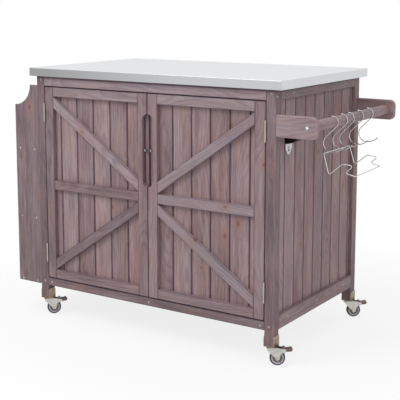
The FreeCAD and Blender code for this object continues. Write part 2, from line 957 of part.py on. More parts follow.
def wire_piece(edge, radius):
    """A round wire along one straight or arc edge."""
    start = edge.valueAt(edge.FirstParameter)
    circle = Part.makeCircle(radius, start, edge.tangentAt(edge.FirstParameter))
    section = Part.Face(Part.Wire([circle]))
    if isinstance(edge.Curve, Part.Circle):
        turn = math.degrees(edge.LastParameter - edge.FirstParameter)
        return section.revolve(edge.Curve.Center, edge.Curve.Axis, turn)
    return section.extrude(edge.valueAt(edge.LastParameter) - start)


def make_wire_rack():
    """One closed wire: two zigzag ends joined by a top wire and an outer wire."""
    points = []
    for out, down in wire_rack_outline:
        depth = down * wire_rack_front_stretch
        points.append(V(rack_wire_x + out, wire_rack_front, rack_wire_z - depth))
    for out, down in reversed(wire_rack_outline):
        points.append(V(rack_wire_x + out, wire_rack_back, rack_wire_z - down))
    pieces = [wire_piece(edge, hook_wire_radius) for edge in rounded_loop(points, wire_rack_bend_radius)]
    keep("wire_rack", pieces[0].fuse(pieces[1:]).removeSplitter())


def make_hooks():
    for number, y in enumerate(hook_places, start=1):
        keep(f"s_hook_{number}", s_hook(y))


def keyhole(face):
    """The cut that lets the opener's plate hang on its lower screw."""
    start = (face, opener_place, opener_keyhole_level)
    hole = rod(start, (1, 0, 0), opener_keyhole_radius, opener_plate_thickness)
    top = opener_keyhole_level + opener_slot_rise
    slot = block(
        face,
        face + opener_plate_thickness,
        opener_place - opener_slot_radius,
        opener_place + opener_slot_radius,
        opener_keyhole_level,
        top,
    )
    end = rod((face, opener_place, top), (1, 0, 0), opener_slot_radius, opener_plate_thickness)
    return hole.fuse([slot, end])


def make_bottle_opener():
    """A wall opener: a screwed plate, a hood with cheeks below and a tooth above."""
    face = side_slat_face
    low_y = opener_place - opener_width / 2
    high_y = opener_place + opener_width / 2
    tip_low = opener_place - opener_tip_width / 2
    tip_high = opener_place + opener_tip_width / 2
    outline = (
        (face, low_y, opener_top),
        (face, low_y, opener_shoulder),
        (face, tip_low, opener_bottom),
        (face, tip_high, opener_bottom),
        (face, high_y, opener_shoulder),
        (face, high_y, opener_top),
    )
    plate = prism(outline, (opener_plate_thickness, 0, 0)).cut(keyhole(face))
    root = face + opener_root_bite
    tip = root + opener_scoop_reach
    centre_level = opener_scoop_level + opener_scoop_radius
    lip_level = centre_level - math.sqrt(opener_scoop_radius**2 - opener_scoop_reach**2) + opener_lip
    section = (
        (root, low_y, opener_scoop_level - nearly),
        (tip, low_y, opener_scoop_level - nearly),
        (tip, low_y, lip_level),
        (root, low_y, opener_tooth_level),
    )
    hood = prism(section, (0, opener_width, 0))
    hood = hood.common(rod((root, low_y, centre_level), (0, 1, 0), opener_scoop_radius, opener_width))
    hollow = rod(
        (root, low_y + opener_plate_thickness, centre_level),
        (0, 1, 0),
        opener_scoop_radius - opener_plate_thickness,
        opener_width - 2 * opener_plate_thickness,
    )
    tooth = block(
        root,
        root + opener_tooth_reach,
        opener_place - opener_tooth_width / 2,
        opener_place + opener_tooth_width / 2,
        opener_tooth_level,
        opener_tooth_level + opener_plate_thickness,
    )
    keep("bottle_opener", plate.fuse(hood.cut(hollow)).fuse(tooth).removeSplitter())
    for level in opener_screw_levels:
        start = (face + opener_plate_thickness, opener_place, level)
        length = opener_plate_thickness + short_screw_bite
        drive_screw(start, (-1, 0, 0), length, ["bottle_opener", "right_slats"])


def caster_plate(x, y):
    """The U-shaped bracket that cups a leg's foot, with its raceway and kingpin."""
    half = leg_size / 2
    side = half + caster_plate_thickness
    top = caster_height
    bottom = top - caster_plate_thickness
    plate = block(x - side, x + side, y - half, y + half, bottom, top)
    for low_x in (x - side, x + half):
        tab = block(
            low_x,
            low_x + caster_plate_thickness,
            y - half,
            y + half,
            bottom,
            top + caster_tab_height,
        )
        upper = [edge for edge in tab.Edges if edge.BoundBox.ZMin > top + caster_tab_height - nearly]
        corners = [edge for edge in upper if edge.BoundBox.YLength < nearly]
        plate = plate.fuse(tab.makeChamfer(caster_tab_corner, corners))
    raceway = rod((x, y, bottom - raceway_height), (0, 0, 1), raceway_radius, raceway_height)
    head_top = crown_underside() - swivel_gap
    kingpin = rod((x, y, head_top), (0, 0, 1), kingpin_radius, bottom - head_top)
    head = rod((x, y, head_top - kingpin_head_height), (0, 0, 1), kingpin_head_radius, kingpin_head_height)
    return plate.fuse([raceway, kingpin, head]).removeSplitter()


def crown_underside():
    """The level of the fork crown's lower face."""
    return caster_height - caster_plate_thickness - raceway_height - swivel_gap - crown_thickness


def turned(shape, x, y, yaw):
    """A caster piece, made with its trail along +X from the origin, set under its leg."""
    placed = shape.copy()
    placed.rotate(V(0, 0, 0), V(0, 0, 1), yaw)
    placed.translate(V(x, y, 0))
    return placed


def fork_solids():
    """The fork: a crown, two cheeks, the axle bolt and the pedal's pin."""
    inner = wheel_width / 2 + fork_side_gap
    outer = inner + fork_thickness
    low = crown_underside()
    crown = block(-crown_front, caster_trail, -outer, outer, low, low + crown_thickness)
    crown = crown.cut(
        rod((0, 0, low), (0, 0, 1), kingpin_radius + running_clearance, crown_thickness)
    )
    rear = pedal_pivot_reach + pedal_pin_radius * 2
    toe = (caster_trail, wheel_radius)
    outline = (
        (-crown_front, low + crown_thickness),
        (-crown_front, low - fork_heel_drop),
        (toe[0] - fork_toe_radius, toe[1]),
        (toe[0] + fork_toe_radius, toe[1]),
        (toe[0] + fork_throat_reach, pedal_pivot_level - fork_throat_drop),
        (rear, pedal_pivot_level - pedal_pin_radius * 2),
        (rear, pedal_pivot_level + pedal_pin_radius * 2),
        (caster_trail, low + crown_thickness),
    )
    fork = crown
    for side in (-1, 1):
        start = min(side * inner, side * outer)
        cheek = prism([(x, start, z) for x, z in outline], (0, fork_thickness, 0))
        cheek = cheek.fuse(rod((toe[0], start, toe[1]), (0, 1, 0), fork_toe_radius, fork_thickness))
        fork = fork.fuse(cheek)
    fork = fork.cut(rod((toe[0], -outer, toe[1]), (0, 1, 0), axle_radius + running_clearance, 2 * outer))
    pivot = (pedal_pivot_reach, -outer, pedal_pivot_level)
    fork = fork.cut(rod(pivot, (0, 1, 0), pedal_pin_radius + running_clearance, 2 * outer))
    axle = rod((toe[0], -outer, toe[1]), (0, 1, 0), axle_radius, 2 * outer)
    for y in (-outer - axle_head_height, outer):
        axle = axle.fuse(rod((toe[0], y, toe[1]), (0, 1, 0), axle_head_radius, axle_head_height))
    pin = rod(pivot, (0, 1, 0), pedal_pin_radius, 2 * outer)
    return [fork.removeSplitter(), axle.removeSplitter(), pin]


def hub_solid():
    """The wheel's moulded core, with a round recess in each face."""
    half = wheel_width / 2
    radius = wheel_radius - tyre_depth - running_clearance
    start = (caster_trail, -half, wheel_radius)
    hub = rod(start, (0, 1, 0), radius, wheel_width)
    for y in (-half, half - hub_recess_depth):
        hub = hub.cut(rod((caster_trail, y, wheel_radius), (0, 1, 0), hub_recess_radius, hub_recess_depth))
        hub = hub.fuse(rod((caster_trail, y, wheel_radius), (0, 1, 0), hub_boss_radius, hub_recess_depth))
    bore = rod(start, (0, 1, 0), axle_radius + running_clearance, wheel_width)
    return hub.cut(bore).removeSplitter()


def tyre_solid():
    """The tyre, a ring with rounded shoulders."""
    half = wheel_width / 2
    start = (caster_trail, -half, wheel_radius)
    tyre = rod(start, (0, 1, 0), wheel_radius, wheel_width)
    shoulders = [edge for edge in tyre.Edges if edge.BoundBox.YLength < nearly]
    tyre = tyre.makeFillet(tyre_round, shoulders)
    return tyre.cut(rod(start, (0, 1, 0), wheel_radius - tyre_depth, wheel_width))


def pedal_solid():
    """The brake pedal: a rocker whose cam turns onto the tyre when its outer lobe is pressed."""
    half = pedal_width / 2
    rise = wheel_radius - pedal_pivot_level
    run = caster_trail - pedal_pivot_reach
    reach = math.hypot(run, rise) - wheel_radius - pedal_clearance
    pressed = math.degrees(math.atan2(rise, run))
    outline = list(pedal_outline)
    for turn in (-pedal_cam_half_angle, pedal_cam_half_angle):
        angle = math.radians(pressed + pedal_press_angle + turn)
        outline.append((reach * math.cos(angle), reach * math.sin(angle)))
    points = [(pedal_pivot_reach + out, -half, pedal_pivot_level + up) for out, up in outline]
    pivot = (pedal_pivot_reach, -half, pedal_pivot_level)
    bore = rod(pivot, (0, 1, 0), pedal_pin_radius + running_clearance, pedal_width)
    return prism(points, (0, pedal_width, 0)).cut(bore)


def make_casters():
    plates = []
    for name, yaw in caster_turns.items():
        end_name, side_name = name.split("_")
        x = leg_middle_x if side_name == "right" else -leg_middle_x
        y = leg_middle_y if end_name == "rear" else -leg_middle_y
        plates.append(caster_plate(x, y))
        keep(f"fork_{name}", *[turned(s, x, y, yaw) for s in fork_solids()])
        keep(f"hub_{name}", turned(hub_solid(), x, y, yaw))
        keep(f"tyre_{name}", turned(tyre_solid(), x, y, yaw))
        keep(f"pedal_{name}", turned(pedal_solid(), x, y, yaw))
        for side in (-1, 1):
            start = (x + side * (leg_size / 2 + caster_plate_thickness), y, caster_plate_screw_level)
            length = caster_plate_thickness + caster_screw_bite
            drive_screw(start, (-side, 0, 0), length, ["caster_plates", f"leg_{name}"])
    keep("caster_plates", *plates)


def make_all():
    """Builds every node about the middle of the worktop."""
    make_legs()
    make_front_rails()
    make_side("left", -1)
    make_side("right", 1)
    make_rear()
    make_floor_and_shelf()
    make_worktop()
    make_doors()
    make_spice_rack()
    make_towel_bar()
    make_hooks()
    make_wire_rack()
    make_bottle_opener()
    make_casters()
    drill_holes()
    keep("screws", *driven_screws)
    return {name: group(solids) for name, solids in parts.items()}


def floor_point(shapes):
    """The point on the floor under the middle of the whole cart's box."""
    box = Part.makeCompound(list(shapes.values())).optimalBoundingBox(False)
    return V((box.XMin + box.XMax) / 2, (box.YMin + box.YMax) / 2, 0)


os.makedirs("parts", exist_ok=True)
nodes = make_all()
origin = floor_point(nodes)
for name, shape in nodes.items():
    shape.translate(-origin)
    shape.exportStep(f"parts/{name}.step")
print(len(nodes), "nodes, origin", origin)
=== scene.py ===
"""The looks of the grill cart: stained boards, a folded steel worktop, plated fittings and casters.

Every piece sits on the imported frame. Boards are rebuilt from the frame's own solids with eased edges
and a grain of their own, and the metal pieces that show their making are modelled anew. Metres.
"""

import json
import math
import random

import bmesh
import bpy
from mathutils import Matrix, Vector


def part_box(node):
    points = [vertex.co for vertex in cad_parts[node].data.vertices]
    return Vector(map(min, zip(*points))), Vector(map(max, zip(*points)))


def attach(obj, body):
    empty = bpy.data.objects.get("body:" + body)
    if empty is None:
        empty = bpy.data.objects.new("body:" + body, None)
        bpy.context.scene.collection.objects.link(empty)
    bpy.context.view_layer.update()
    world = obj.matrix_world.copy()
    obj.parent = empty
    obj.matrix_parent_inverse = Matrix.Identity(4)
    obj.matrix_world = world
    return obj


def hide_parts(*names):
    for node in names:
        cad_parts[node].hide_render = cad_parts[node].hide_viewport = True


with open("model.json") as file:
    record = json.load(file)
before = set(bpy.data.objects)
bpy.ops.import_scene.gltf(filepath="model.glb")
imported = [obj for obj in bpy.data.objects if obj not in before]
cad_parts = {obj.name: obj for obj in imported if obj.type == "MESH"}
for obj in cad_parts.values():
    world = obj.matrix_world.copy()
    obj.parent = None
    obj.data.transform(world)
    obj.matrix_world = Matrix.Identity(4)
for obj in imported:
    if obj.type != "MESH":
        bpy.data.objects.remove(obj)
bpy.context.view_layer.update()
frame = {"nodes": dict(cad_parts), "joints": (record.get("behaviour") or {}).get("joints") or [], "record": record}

# The photograph's camera, from the floor under the worktop's middle
image_side = 400.0
sensor = 36.0
focal_pixels = 984.74
camera_place = Vector((1.947, -2.9521, 1.1754))
camera_azimuth = 33.266
camera_pitch = 8.55
shift_pixels = 56.0

# Joining and easing
weld_distance = 1e-5
flat_angle = math.radians(1.0)
bevel_angle = math.radians(25.0)
sharp_angle = math.radians(50.0)
bevel_steps = 2
aligned_share = 0.9
groove_slope = 0.25
groove_width = 0.006
board_ease = 0.0011
groove_ease = 0.0004
arm_ease = 0.0026
metal_ease = 0.00035
fitting_ease = 0.0002
pedal_ease = 0.0012
catch_ease = 0.0008

# Marks on boards: stain gathers in dark edges, worn edges are rubbed pale, and a dark strip under the worktop is
# painted shadow
dark_edge = -1.0
worn_edge = 1.0
rim_width = 0.0035
rim_face_width = 0.014
shadow_line_width = 0.0065
shadow_line_reach = 0.003

# Where a board's pith may lie: along the board, across it and under its face
pith_along = (-9, 9)
pith_across = (-0.05, 0.05)
pith_under = (0.02, 0.07)

# How pale the boards of some pieces are, from dark at 0 to pale at 1 and weathered above it.
# Boards go from low to high. A door frame's go from its meeting stile over its rails to its outer stile.
board_tones = {
    "front_rails": (0.0, 1.4),
    "left_door_frame": (0.4, 0.4, 0.4, 1.3, 0.3),
    "right_door_frame": (0.9, 0.6, 1.4, 1.5, 0.9),
    "left_door_braces": (0.0, 1.6),
    "right_door_braces": (1.4, 1.1),
    "leg_front_left": (-0.5,),
    "leg_front_right": (-0.1,),
    "leg_rear_left": (0.2,),
    "leg_rear_right": (0.2,),
    "towel_arm_front": (1.2,),
    "towel_arm_rear": (0.9,),
}
usual_tones = (0.1, 1.0)
# Planks behind the hand slot are darkened by slot_shade: painted shade inside the slot
slot_shade = 0.9
slot_reach = 0.012

# Patterns in the wood: how fine along and across the grain, then their detail and roughness
sway_pattern = (1.6, 4.0, 2.0, 0.5)
roll_pattern = (5.0, 14.0, 2.0, 0.5)
uneven_pattern = (70.0, 110.0, 2.0, 0.5)
cloud_pattern = (5.0, 20.0, 4.0, 0.6)
streak_pattern = (3.5, 90.0, 3.0, 0.6)
fibre_pattern = (22.0, 420.0, 3.0, 0.65)
pore_pattern = (34.0, 950.0, 2.0, 0.7)
blotch_pattern = (4.0, 11.0, 3.0, 0.55)
bare_pattern = (6.0, 36.0, 4.0, 0.6)
blotch_scale = 1.7
bare_scale = 1.3

# Growth rings, and the range in each ring where late wood starts and ends
ring_width = 0.0062
sway_reach = 0.12
roll_reach = 0.006
late_start = (0.35, 0.88)
late_end = (0.92, 1.0)

# Knots: cells per metre along and across, the luck that a cell needs for one, and their reach in metres
knot_cells = (2.1, 8.5)
knot_scatter = 0.9
knot_luck = (0.24, 0.25)
knot_stretch = 0.7
knot_least_size = 0.55
knot_size_range = 0.7
knot_least_edge = 0.6
knot_edge_range = 0.8
knot_core = (0.0035, 0.0085)
knot_halo = (0.006, 0.034)
ring_bend = 1.6

# How much each pattern weighs in the wood's tone, and where the tone turns from dark to pale
cloud_weight = 0.40
streak_weight = 0.30
fibre_weight = 0.3
tint_weight = 0.14
tone_range = (0.34, 0.66)
pore_range = (0.56, 0.66)
pore_share = 0.7
hue_turns = 7.3
hue_range = (0.1, 0.9)
rosy_range = (0.40, 0.66)
bare_range = (0.54, 0.70)
grey_range = (0.9, 1.5)
late_share = 0.45
halo_share = 0.5
knot_share = 0.6

# Screen colours of patches where the stain is thin, and of a knot's halo and core
bare_colour = (164, 134, 116)
halo_colour = (158, 118, 104)
knot_colour = (112, 70, 60)

# What the wood's colour is multiplied by in pores, patches and late wood, and at its edges. The darkest also
# paints the shadow under the worktop
pitted_wood = (0.70, 0.66, 0.68, 1.0)
cool_wood = (0.95, 1.0, 1.03, 1.0)
rosy_wood = (1.06, 0.95, 0.94, 1.0)
late_wood = (0.60, 0.51, 0.53, 1.0)
grey_wood = (0.98, 1.03, 1.06, 1.0)
worn_wood = (1.22, 1.18, 1.17, 1.0)
rubbed_wood = (1.12, 1.10, 1.09, 1.0)
stained_wood = (0.66, 0.61, 0.67, 1.0)
pooled_stain_and_shadow_wood = (0.46, 0.41, 0.49, 1.0)

# Metal and plastic: how fine clouds, spots and grit are, and what they do to the colour
metal_cloud_scale = 24.0
metal_cloud_range = (0.3, 0.7)
metal_spot_scale = 90.0
metal_spot_range = (0.45, 0.65)
metal_grit_scale = 420.0
metal_shade = 0.9
dull_metal = (0.74, 0.66, 0.54, 1.0)
sheet_cloud_scale = 5.0
brush_scale = (4.0, 460.0, 460.0)
sheet_cloud_share = 0.07
brush_share = 0.12
dull_sheet = (0.8, 0.8, 0.8, 1.0)
plastic_cloud_scale = 40.0
plastic_cloud_range = (0.35, 0.7)
plastic_grit_scale = 500.0
dull_plastic = (0.8, 0.79, 0.78, 1.0)

# Gloss: the least roughness and how much its pattern adds. Metal and plastic centre it on their own
wood_gloss = (0.52, 0.16)
sheet_gloss = (0.33, 0.14)
metal_gloss_range = 0.1
plastic_gloss_range = 0.12

# Relief: depth in metres, then strength. Fibres and late wood share the wood's
wood_relief = (0.00035, 0.5)
fibre_relief = 0.6
late_relief = 0.4
metal_relief = (0.00006, 0.5)
sheet_relief = (0.00004, 0.4)
plastic_relief = (0.0001, 0.4)

# Outlines that a convex board can't hold
hand_slot_radius = 0.020
hand_slot_length = 0.248
hand_slot_level = 0.659
scoop_radius = 0.074
arm_corner_radius = 0.020
arc_steps = 20
round_steps = 64

# Worktop tray
tray_sheet = 0.0012
tray_corner = 0.004
tray_rim = 0.0014
tray_lip = 0.0005
lip_share = 0.3
tray_bend_steps = 4
tray_run_steps = 8
seam_depth = 0.0003
seam_half_width = 0.0006

# How much painted shade darkens the tray's folded edge, standing in for its darker reflection: falling along the
# front, steady at the rear and left
front_painted_shade = 1.08
front_fall = 1.09
front_least = 0.36
other_painted_shade = 0.45
facing_share = 0.5

# Wheels
wheel_radius = 0.0255
wheel_half = 0.009
tyre_inner = 0.0205
rim_inner = 0.0165
recess_depth = 0.004
boss_radius = 0.0070
axle_bore = 0.00305
rim_mark_width = 0.0004
hub_rib_count = 6
hub_rib_width = 0.0014
hub_rib_share = 0.7

# Half profiles of tyre and hub from the inside out: radius, then depth under the wheel's face
tyre_profile = (
    (tyre_inner, 0.0012),
    (tyre_inner + 0.0006, 0.0002),
    (tyre_inner + 0.0014, 0.0),
    (tyre_inner + 0.0024, 0.0003),
    (wheel_radius - 0.0016, 0.0012),
    (wheel_radius - 0.0005, 0.0030),
    (wheel_radius - 0.0002, 0.0048),
    (wheel_radius - 0.0008, 0.0052),
    (wheel_radius - 0.0001, 0.0056),
    (wheel_radius, 0.0080),
)
hub_profile = (
    (axle_bore, 0.0004),
    (axle_bore + 0.0004, 0.0),
    (boss_radius - 0.0006, 0.0),
    (boss_radius, 0.0006),
    (boss_radius + 0.0003, recess_depth),
    (rim_inner - 0.0006, recess_depth),
    (rim_inner - 0.0001, 0.0008),
    (rim_inner + 0.0005, 0.0001),
    (tyre_inner - 0.0010, 0.0001),
    (tyre_inner - 0.0001, 0.0012),
)

# A knob's profile from the door outwards: shares of its radius and of its depth
knob_profile = (
    (0.0, 0.0),
    (0.5, 0.0),
    (0.46, 0.36),
    (0.62, 0.44),
    (0.94, 0.50),
    (1.0, 0.58),
    (1.0, 0.72),
    (0.93, 0.86),
    (0.74, 0.95),
    (0.4, 0.99),
    (0.0, 1.0),
)

# Opener and screws. A head is wider than its shank by least_head_share. Other shares are of the head
opener_plate = 0.0025
shank_radius = 0.002
bolt_head_radius = 0.0055
least_head_share = 1.2
seat_share = 0.99
recess_reach = 0.55
recess_half_width = 0.16
recess_floor_share = 0.35
recess_taper = 0.8
dome_rings = (0.35, 0.7, 1.0)

# Floor, world and lamps. The shadow fades out between two distances from the cart's middle
floor_radius = 60.0
floor_steps = 96
floor_colour = (212, 212, 212)
seen_floor_colour = (252, 252, 252)
world_colour = (244, 245, 248)
shadow_fade = (0.7, 1.4)
white_share = 0.82
world_strength = 0.55
lamps = {
    "key": {"place_at": (-1.4, -2.7, 3.5), "target": (0, 0, 0.4), "size": 2.0, "power": 74.0},
    "fill": {"place_at": (3.4, -1.2, 2.2), "target": (0, 0, 0.4), "size": 2.2, "power": 20.0},
    "top": {"place_at": (0.0, 0.2, 4.2), "target": (0, 0, 0), "size": 3.0, "power": 24.0},
}

random.seed(7)
worktop_low, worktop_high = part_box("worktop_tray")
worktop_middle = (worktop_low + worktop_high) / 2


def srgb(red, green, blue):
    """A colour written as screen values from 0 to 255, as linear light."""
    linear = []
    for value in (red, green, blue):
        part = value / 255
        linear.append(part / 12.92 if part <= 0.04045 else ((part + 0.055) / 1.055) ** 2.4)
    return (*linear, 1.0)


class Nodes:
    """A small helper that adds shader nodes and joins them by name."""

    def __init__(self, name):
        self.material = bpy.data.materials.new(name)
        self.material.use_nodes = True
        self.tree = self.material.node_tree
        self.shader = self.tree.nodes["Principled BSDF"]

    def add(self, kind, inputs=None, **settings):
        node = self.tree.nodes.new(kind)
        for key, value in settings.items():
            setattr(node, key, value)
        for key, value in (inputs or {}).items():
            self.join(value, node.inputs[key])
        return node

    def join(self, value, socket):
        if isinstance(value, bpy.types.NodeSocket):
            self.tree.links.new(value, socket)
        else:
            socket.default_value = value

    def attribute(self, name, output="Fac"):
        return self.add("ShaderNodeAttribute", attribute_name=name).outputs[output]

    def math(self, operation, first, second=0.0):
        return self.add("ShaderNodeMath", {0: first, 1: second}, operation=operation).outputs[0]

    def line(self, start, slope, value):
        """Start plus slope times value."""
        return self.math("ADD", start, self.math("MULTIPLY", value, slope))

    def centred(self, value, reach):
        """A value round one half, turned into one round zero."""
        return self.math("MULTIPLY", self.math("SUBTRACT", value, 0.5), reach)

    def vector(self, operation, first, second):
        return self.add("ShaderNodeVectorMath", {0: first, 1: second}, operation=operation).outputs[0]

    def length(self, vector):
        return self.add("ShaderNodeVectorMath", {0: vector}, operation="LENGTH").outputs["Value"]

    def mix(self, share, first, second, blend="MIX"):
        node = self.add("ShaderNodeMix", data_type="RGBA", blend_type=blend)
        self.join(share, node.inputs[0])
        self.join(first, node.inputs[6])
        self.join(second, node.inputs[7])
        return node.outputs[2]

    def dyed(self, share, colour, factor):
        """A colour multiplied by a factor, as far as the share says."""
        return self.mix(share, colour, self.mix(1.0, colour, factor, "MULTIPLY"))

    def ramp(self, value, low, high):
        """Turns a value from low to high into 0 to 1, held at both ends."""
        return self.add("ShaderNodeMapRange", {0: value, 1: low, 2: high, 3: 0.0, 4: 1.0}).outputs[0]

    def noise(self, coords, scale, detail=2.0, roughness=0.5):
        inputs = {"Vector": coords, "Scale": scale, "Detail": detail, "Roughness": roughness}
        return self.add("ShaderNodeTexNoise", inputs).outputs["Fac"]

    def grain_noise(self, grain, pattern, scale=1.0):
        """Noise that is drawn out along the grain, by one of the patterns named above."""
        along, across, detail, roughness = pattern
        stretched = self.vector("MULTIPLY", grain, (along, across, across))
        return self.noise(stretched, scale, detail, roughness)

    def object_place(self):
        return self.add("ShaderNodeTexCoord").outputs["Object"]

    def bump(self, height, distance, strength):
        inputs = {"Height": height, "Distance": distance, "Strength": strength}
        return self.add("ShaderNodeBump", inputs).outputs[0]

    def finish(self, **sockets):
        for name, value in sockets.items():
            self.join(value, self.shader.inputs[name.replace("_", " ")])
        return self.material


def knot_marks(n, grain):
    """Scattered knots: how far away the nearest one is, and the shares of its core and its halo."""
    along, across = knot_cells
    stretched = n.vector("MULTIPLY", grain, (along, across, 0.0))
    cells = n.add(
        "ShaderNodeTexVoronoi",
        {"Vector": stretched, "Scale": 1.0, "Randomness": knot_scatter},
        voronoi_dimensions="2D",
    )
    flat = n.vector("MULTIPLY", grain, (1.0, 1.0, 0.0))
    centre = n.vector("MULTIPLY", cells.outputs["Position"], (1 / along, 1 / across, 0.0))
    offset = n.vector("MULTIPLY", n.vector("SUBTRACT", flat, centre), (knot_stretch, 1.0, 0.0))
    luck = n.add("ShaderNodeSeparateColor", {0: cells.outputs["Color"]})
    there = n.ramp(luck.outputs[0], *knot_luck)
    size = n.line(knot_least_size, knot_size_range, luck.outputs[1])
    uneven = n.line(knot_least_edge, knot_edge_range, n.grain_noise(grain, uneven_pattern))
    away = n.math("MULTIPLY", n.math("DIVIDE", n.length(offset), size), uneven)
    knot = n.math("MULTIPLY", there, n.math("SUBTRACT", 1.0, n.ramp(away, *knot_core)))
    halo = n.math("MULTIPLY", there, n.math("SUBTRACT", 1.0, n.ramp(away, *knot_halo)))
    return away, knot, halo


def growth_rings(n, grain, away, halo):
    """The share of late wood in rings round a pith that wanders along the board and bends round knots."""
    parts = n.add("ShaderNodeSeparateXYZ", {0: grain})
    across = n.math("ADD", parts.outputs[1], n.centred(n.grain_noise(grain, roll_pattern), roll_reach))
    depth = n.math("ADD", parts.outputs[2], n.centred(n.grain_noise(grain, sway_pattern), sway_reach))
    squares = n.math("ADD", n.math("POWER", across, 2.0), n.math("POWER", depth, 2.0))
    reach = n.math("SQRT", squares)
    round_knot = n.math("SUBTRACT", n.math("MULTIPLY", away, ring_bend), reach)
    reach = n.math("ADD", reach, n.math("MULTIPLY", halo, round_knot))
    ring = n.math("FRACT", n.math("DIVIDE", reach, ring_width))
    ending = n.math("SUBTRACT", 1.0, n.ramp(ring, *late_end))
    return n.math("MULTIPLY", n.ramp(ring, *late_start), ending)


def wood_body(n, grain, tint, fibre, pale, dark):
    """Stained wood's colour in streaks, pores and patches, with a hue of its own for each board."""
    tone = n.math("MULTIPLY", n.grain_noise(grain, cloud_pattern), cloud_weight)
    streak = n.math("MULTIPLY", n.grain_noise(grain, streak_pattern), streak_weight)
    tone = n.math("ADD", tone, streak)
    tone = n.math("ADD", tone, n.math("MULTIPLY", fibre, fibre_weight))
    tone = n.math("ADD", tone, n.centred(tint, tint_weight))
    body = n.mix(n.ramp(tone, *tone_range), dark, pale)
    pores = n.ramp(n.grain_noise(grain, pore_pattern), *pore_range)
    body = n.dyed(n.math("MULTIPLY", pores, pore_share), body, pitted_wood)
    hue = n.math("FRACT", n.math("MULTIPLY", tint, hue_turns))
    cooled = n.mix(1.0, body, cool_wood, "MULTIPLY")
    body = n.mix(n.ramp(hue, *hue_range), cooled, body)
    blotch = n.grain_noise(grain, blotch_pattern, blotch_scale)
    return n.dyed(n.ramp(blotch, *rosy_range), body, rosy_wood)


def wood_edges(n, body, tint):
    """Pale wear and dark stain at a board's edges and rims, painted shadow in a strip under the worktop, and
    greying of weathered boards.
    """
    edge = n.attribute("edge")
    rim = n.attribute("rim")
    body = n.dyed(n.ramp(edge, 0.0, worn_edge), body, worn_wood)
    body = n.dyed(n.ramp(tint, *grey_range), body, grey_wood)
    body = n.dyed(n.ramp(n.math("MULTIPLY", rim, dark_edge), 0.0, worn_edge), body, stained_wood)
    body = n.dyed(n.ramp(rim, 0.0, worn_edge), body, rubbed_wood)
    # Dark edge marks: stain pooled in edges and grooves, and a painted shadow under the worktop
    return n.dyed(n.ramp(n.math("MULTIPLY", edge, dark_edge), 0.0, worn_edge), body, pooled_stain_and_shadow_wood)


def wood_material(name, pale, dark, bare_share):
    """Stained fir: soft streaks, wandering rings, a few knots, and a tone of its own for each board."""
    n = Nodes(name)
    grain = n.attribute("grain", "Vector")
    tint = n.attribute("tint")
    fibre = n.grain_noise(grain, fibre_pattern)
    away, knot, halo = knot_marks(n, grain)
    late = growth_rings(n, grain, away, halo)
    body = wood_body(n, grain, tint, fibre, pale, dark)
    body = n.dyed(n.math("MULTIPLY", late, late_share), body, late_wood)
    bare = n.ramp(n.grain_noise(grain, bare_pattern, bare_scale), *bare_range)
    body = n.mix(n.math("MULTIPLY", bare, bare_share), body, srgb(*bare_colour))
    body = n.mix(n.math("MULTIPLY", halo, halo_share), body, srgb(*halo_colour))
    body = n.mix(n.math("MULTIPLY", knot, knot_share), body, srgb(*knot_colour))
    body = wood_edges(n, body, tint)
    relief = n.math("MULTIPLY", fibre, fibre_relief)
    relief = n.math("ADD", relief, n.math("MULTIPLY", late, late_relief))
    rough = n.line(*wood_gloss, fibre)
    return n.finish(Base_Color=body, Roughness=rough, Normal=n.bump(relief, *wood_relief))


def metal_material(name, colour, roughness, spots=0.0):
    """Plated or bare metal with fine unevenness in its gloss and faint dull spots."""
    n = Nodes(name)
    spot = n.object_place()
    cloud = n.noise(spot, metal_cloud_scale, detail=3.0)
    grit = n.noise(spot, metal_grit_scale, roughness=0.6)
    shaded = tuple(part * metal_shade for part in colour[:3]) + (1.0,)
    tone = n.mix(n.ramp(cloud, *metal_cloud_range), shaded, colour)
    dull = n.ramp(n.noise(spot, metal_spot_scale, detail=3.0), *metal_spot_range)
    tone = n.dyed(n.math("MULTIPLY", dull, spots), tone, dull_metal)
    n.shader.inputs["Metallic"].default_value = 1.0
    rough = n.line(roughness - metal_gloss_range / 2, metal_gloss_range, cloud)
    return n.finish(Base_Color=tone, Roughness=rough, Normal=n.bump(grit, *metal_relief))


def sheet_material(name, flat_colour, shaded_fold_colour):
    """Brushed steel sheet. Its folded edges are painted darker than its top, a painted shade for their darker
    reflection, as the shade attribute says.
    """
    n = Nodes(name)
    spot = n.object_place()
    cloud = n.noise(spot, sheet_cloud_scale, detail=3.0)
    lines = n.noise(n.vector("MULTIPLY", spot, brush_scale), 1.0, detail=3.0, roughness=0.6)
    tone = n.mix(n.attribute("shade"), flat_colour, shaded_fold_colour)
    tone = n.dyed(n.math("MULTIPLY", cloud, sheet_cloud_share), tone, dull_sheet)
    tone = n.dyed(n.math("MULTIPLY", lines, brush_share), tone, dull_sheet)
    n.shader.inputs["Metallic"].default_value = 1.0
    rough = n.line(*sheet_gloss, lines)
    return n.finish(Base_Color=tone, Roughness=rough, Normal=n.bump(lines, *sheet_relief))


def plastic_material(name, colour, roughness, ring_colour=None):
    """Moulded plastic or rubber with fine grit and slight clouding, and a second colour on its ring."""
    n = Nodes(name)
    spot = n.object_place()
    cloud = n.noise(spot, plastic_cloud_scale, detail=3.0)
    grit = n.noise(spot, plastic_grit_scale, roughness=0.6)
    tone = colour
    if ring_colour:
        tone = n.mix(n.attribute("ring"), colour, ring_colour)
    darker = n.mix(1.0, tone, dull_plastic, "MULTIPLY")
    tone = n.mix(n.ramp(cloud, *plastic_cloud_range), darker, tone)
    rough = n.line(roughness - plastic_gloss_range / 2, plastic_gloss_range, grit)
    return n.finish(Base_Color=tone, Roughness=rough, Normal=n.bump(grit, *plastic_relief))


def welded(mesh):
    """A bmesh of a CAD node, with its doubled corners joined."""
    work = bmesh.new()
    work.from_mesh(mesh)
    bmesh.ops.remove_doubles(work, verts=work.verts, dist=weld_distance)
    work.faces.ensure_lookup_table()
    return work


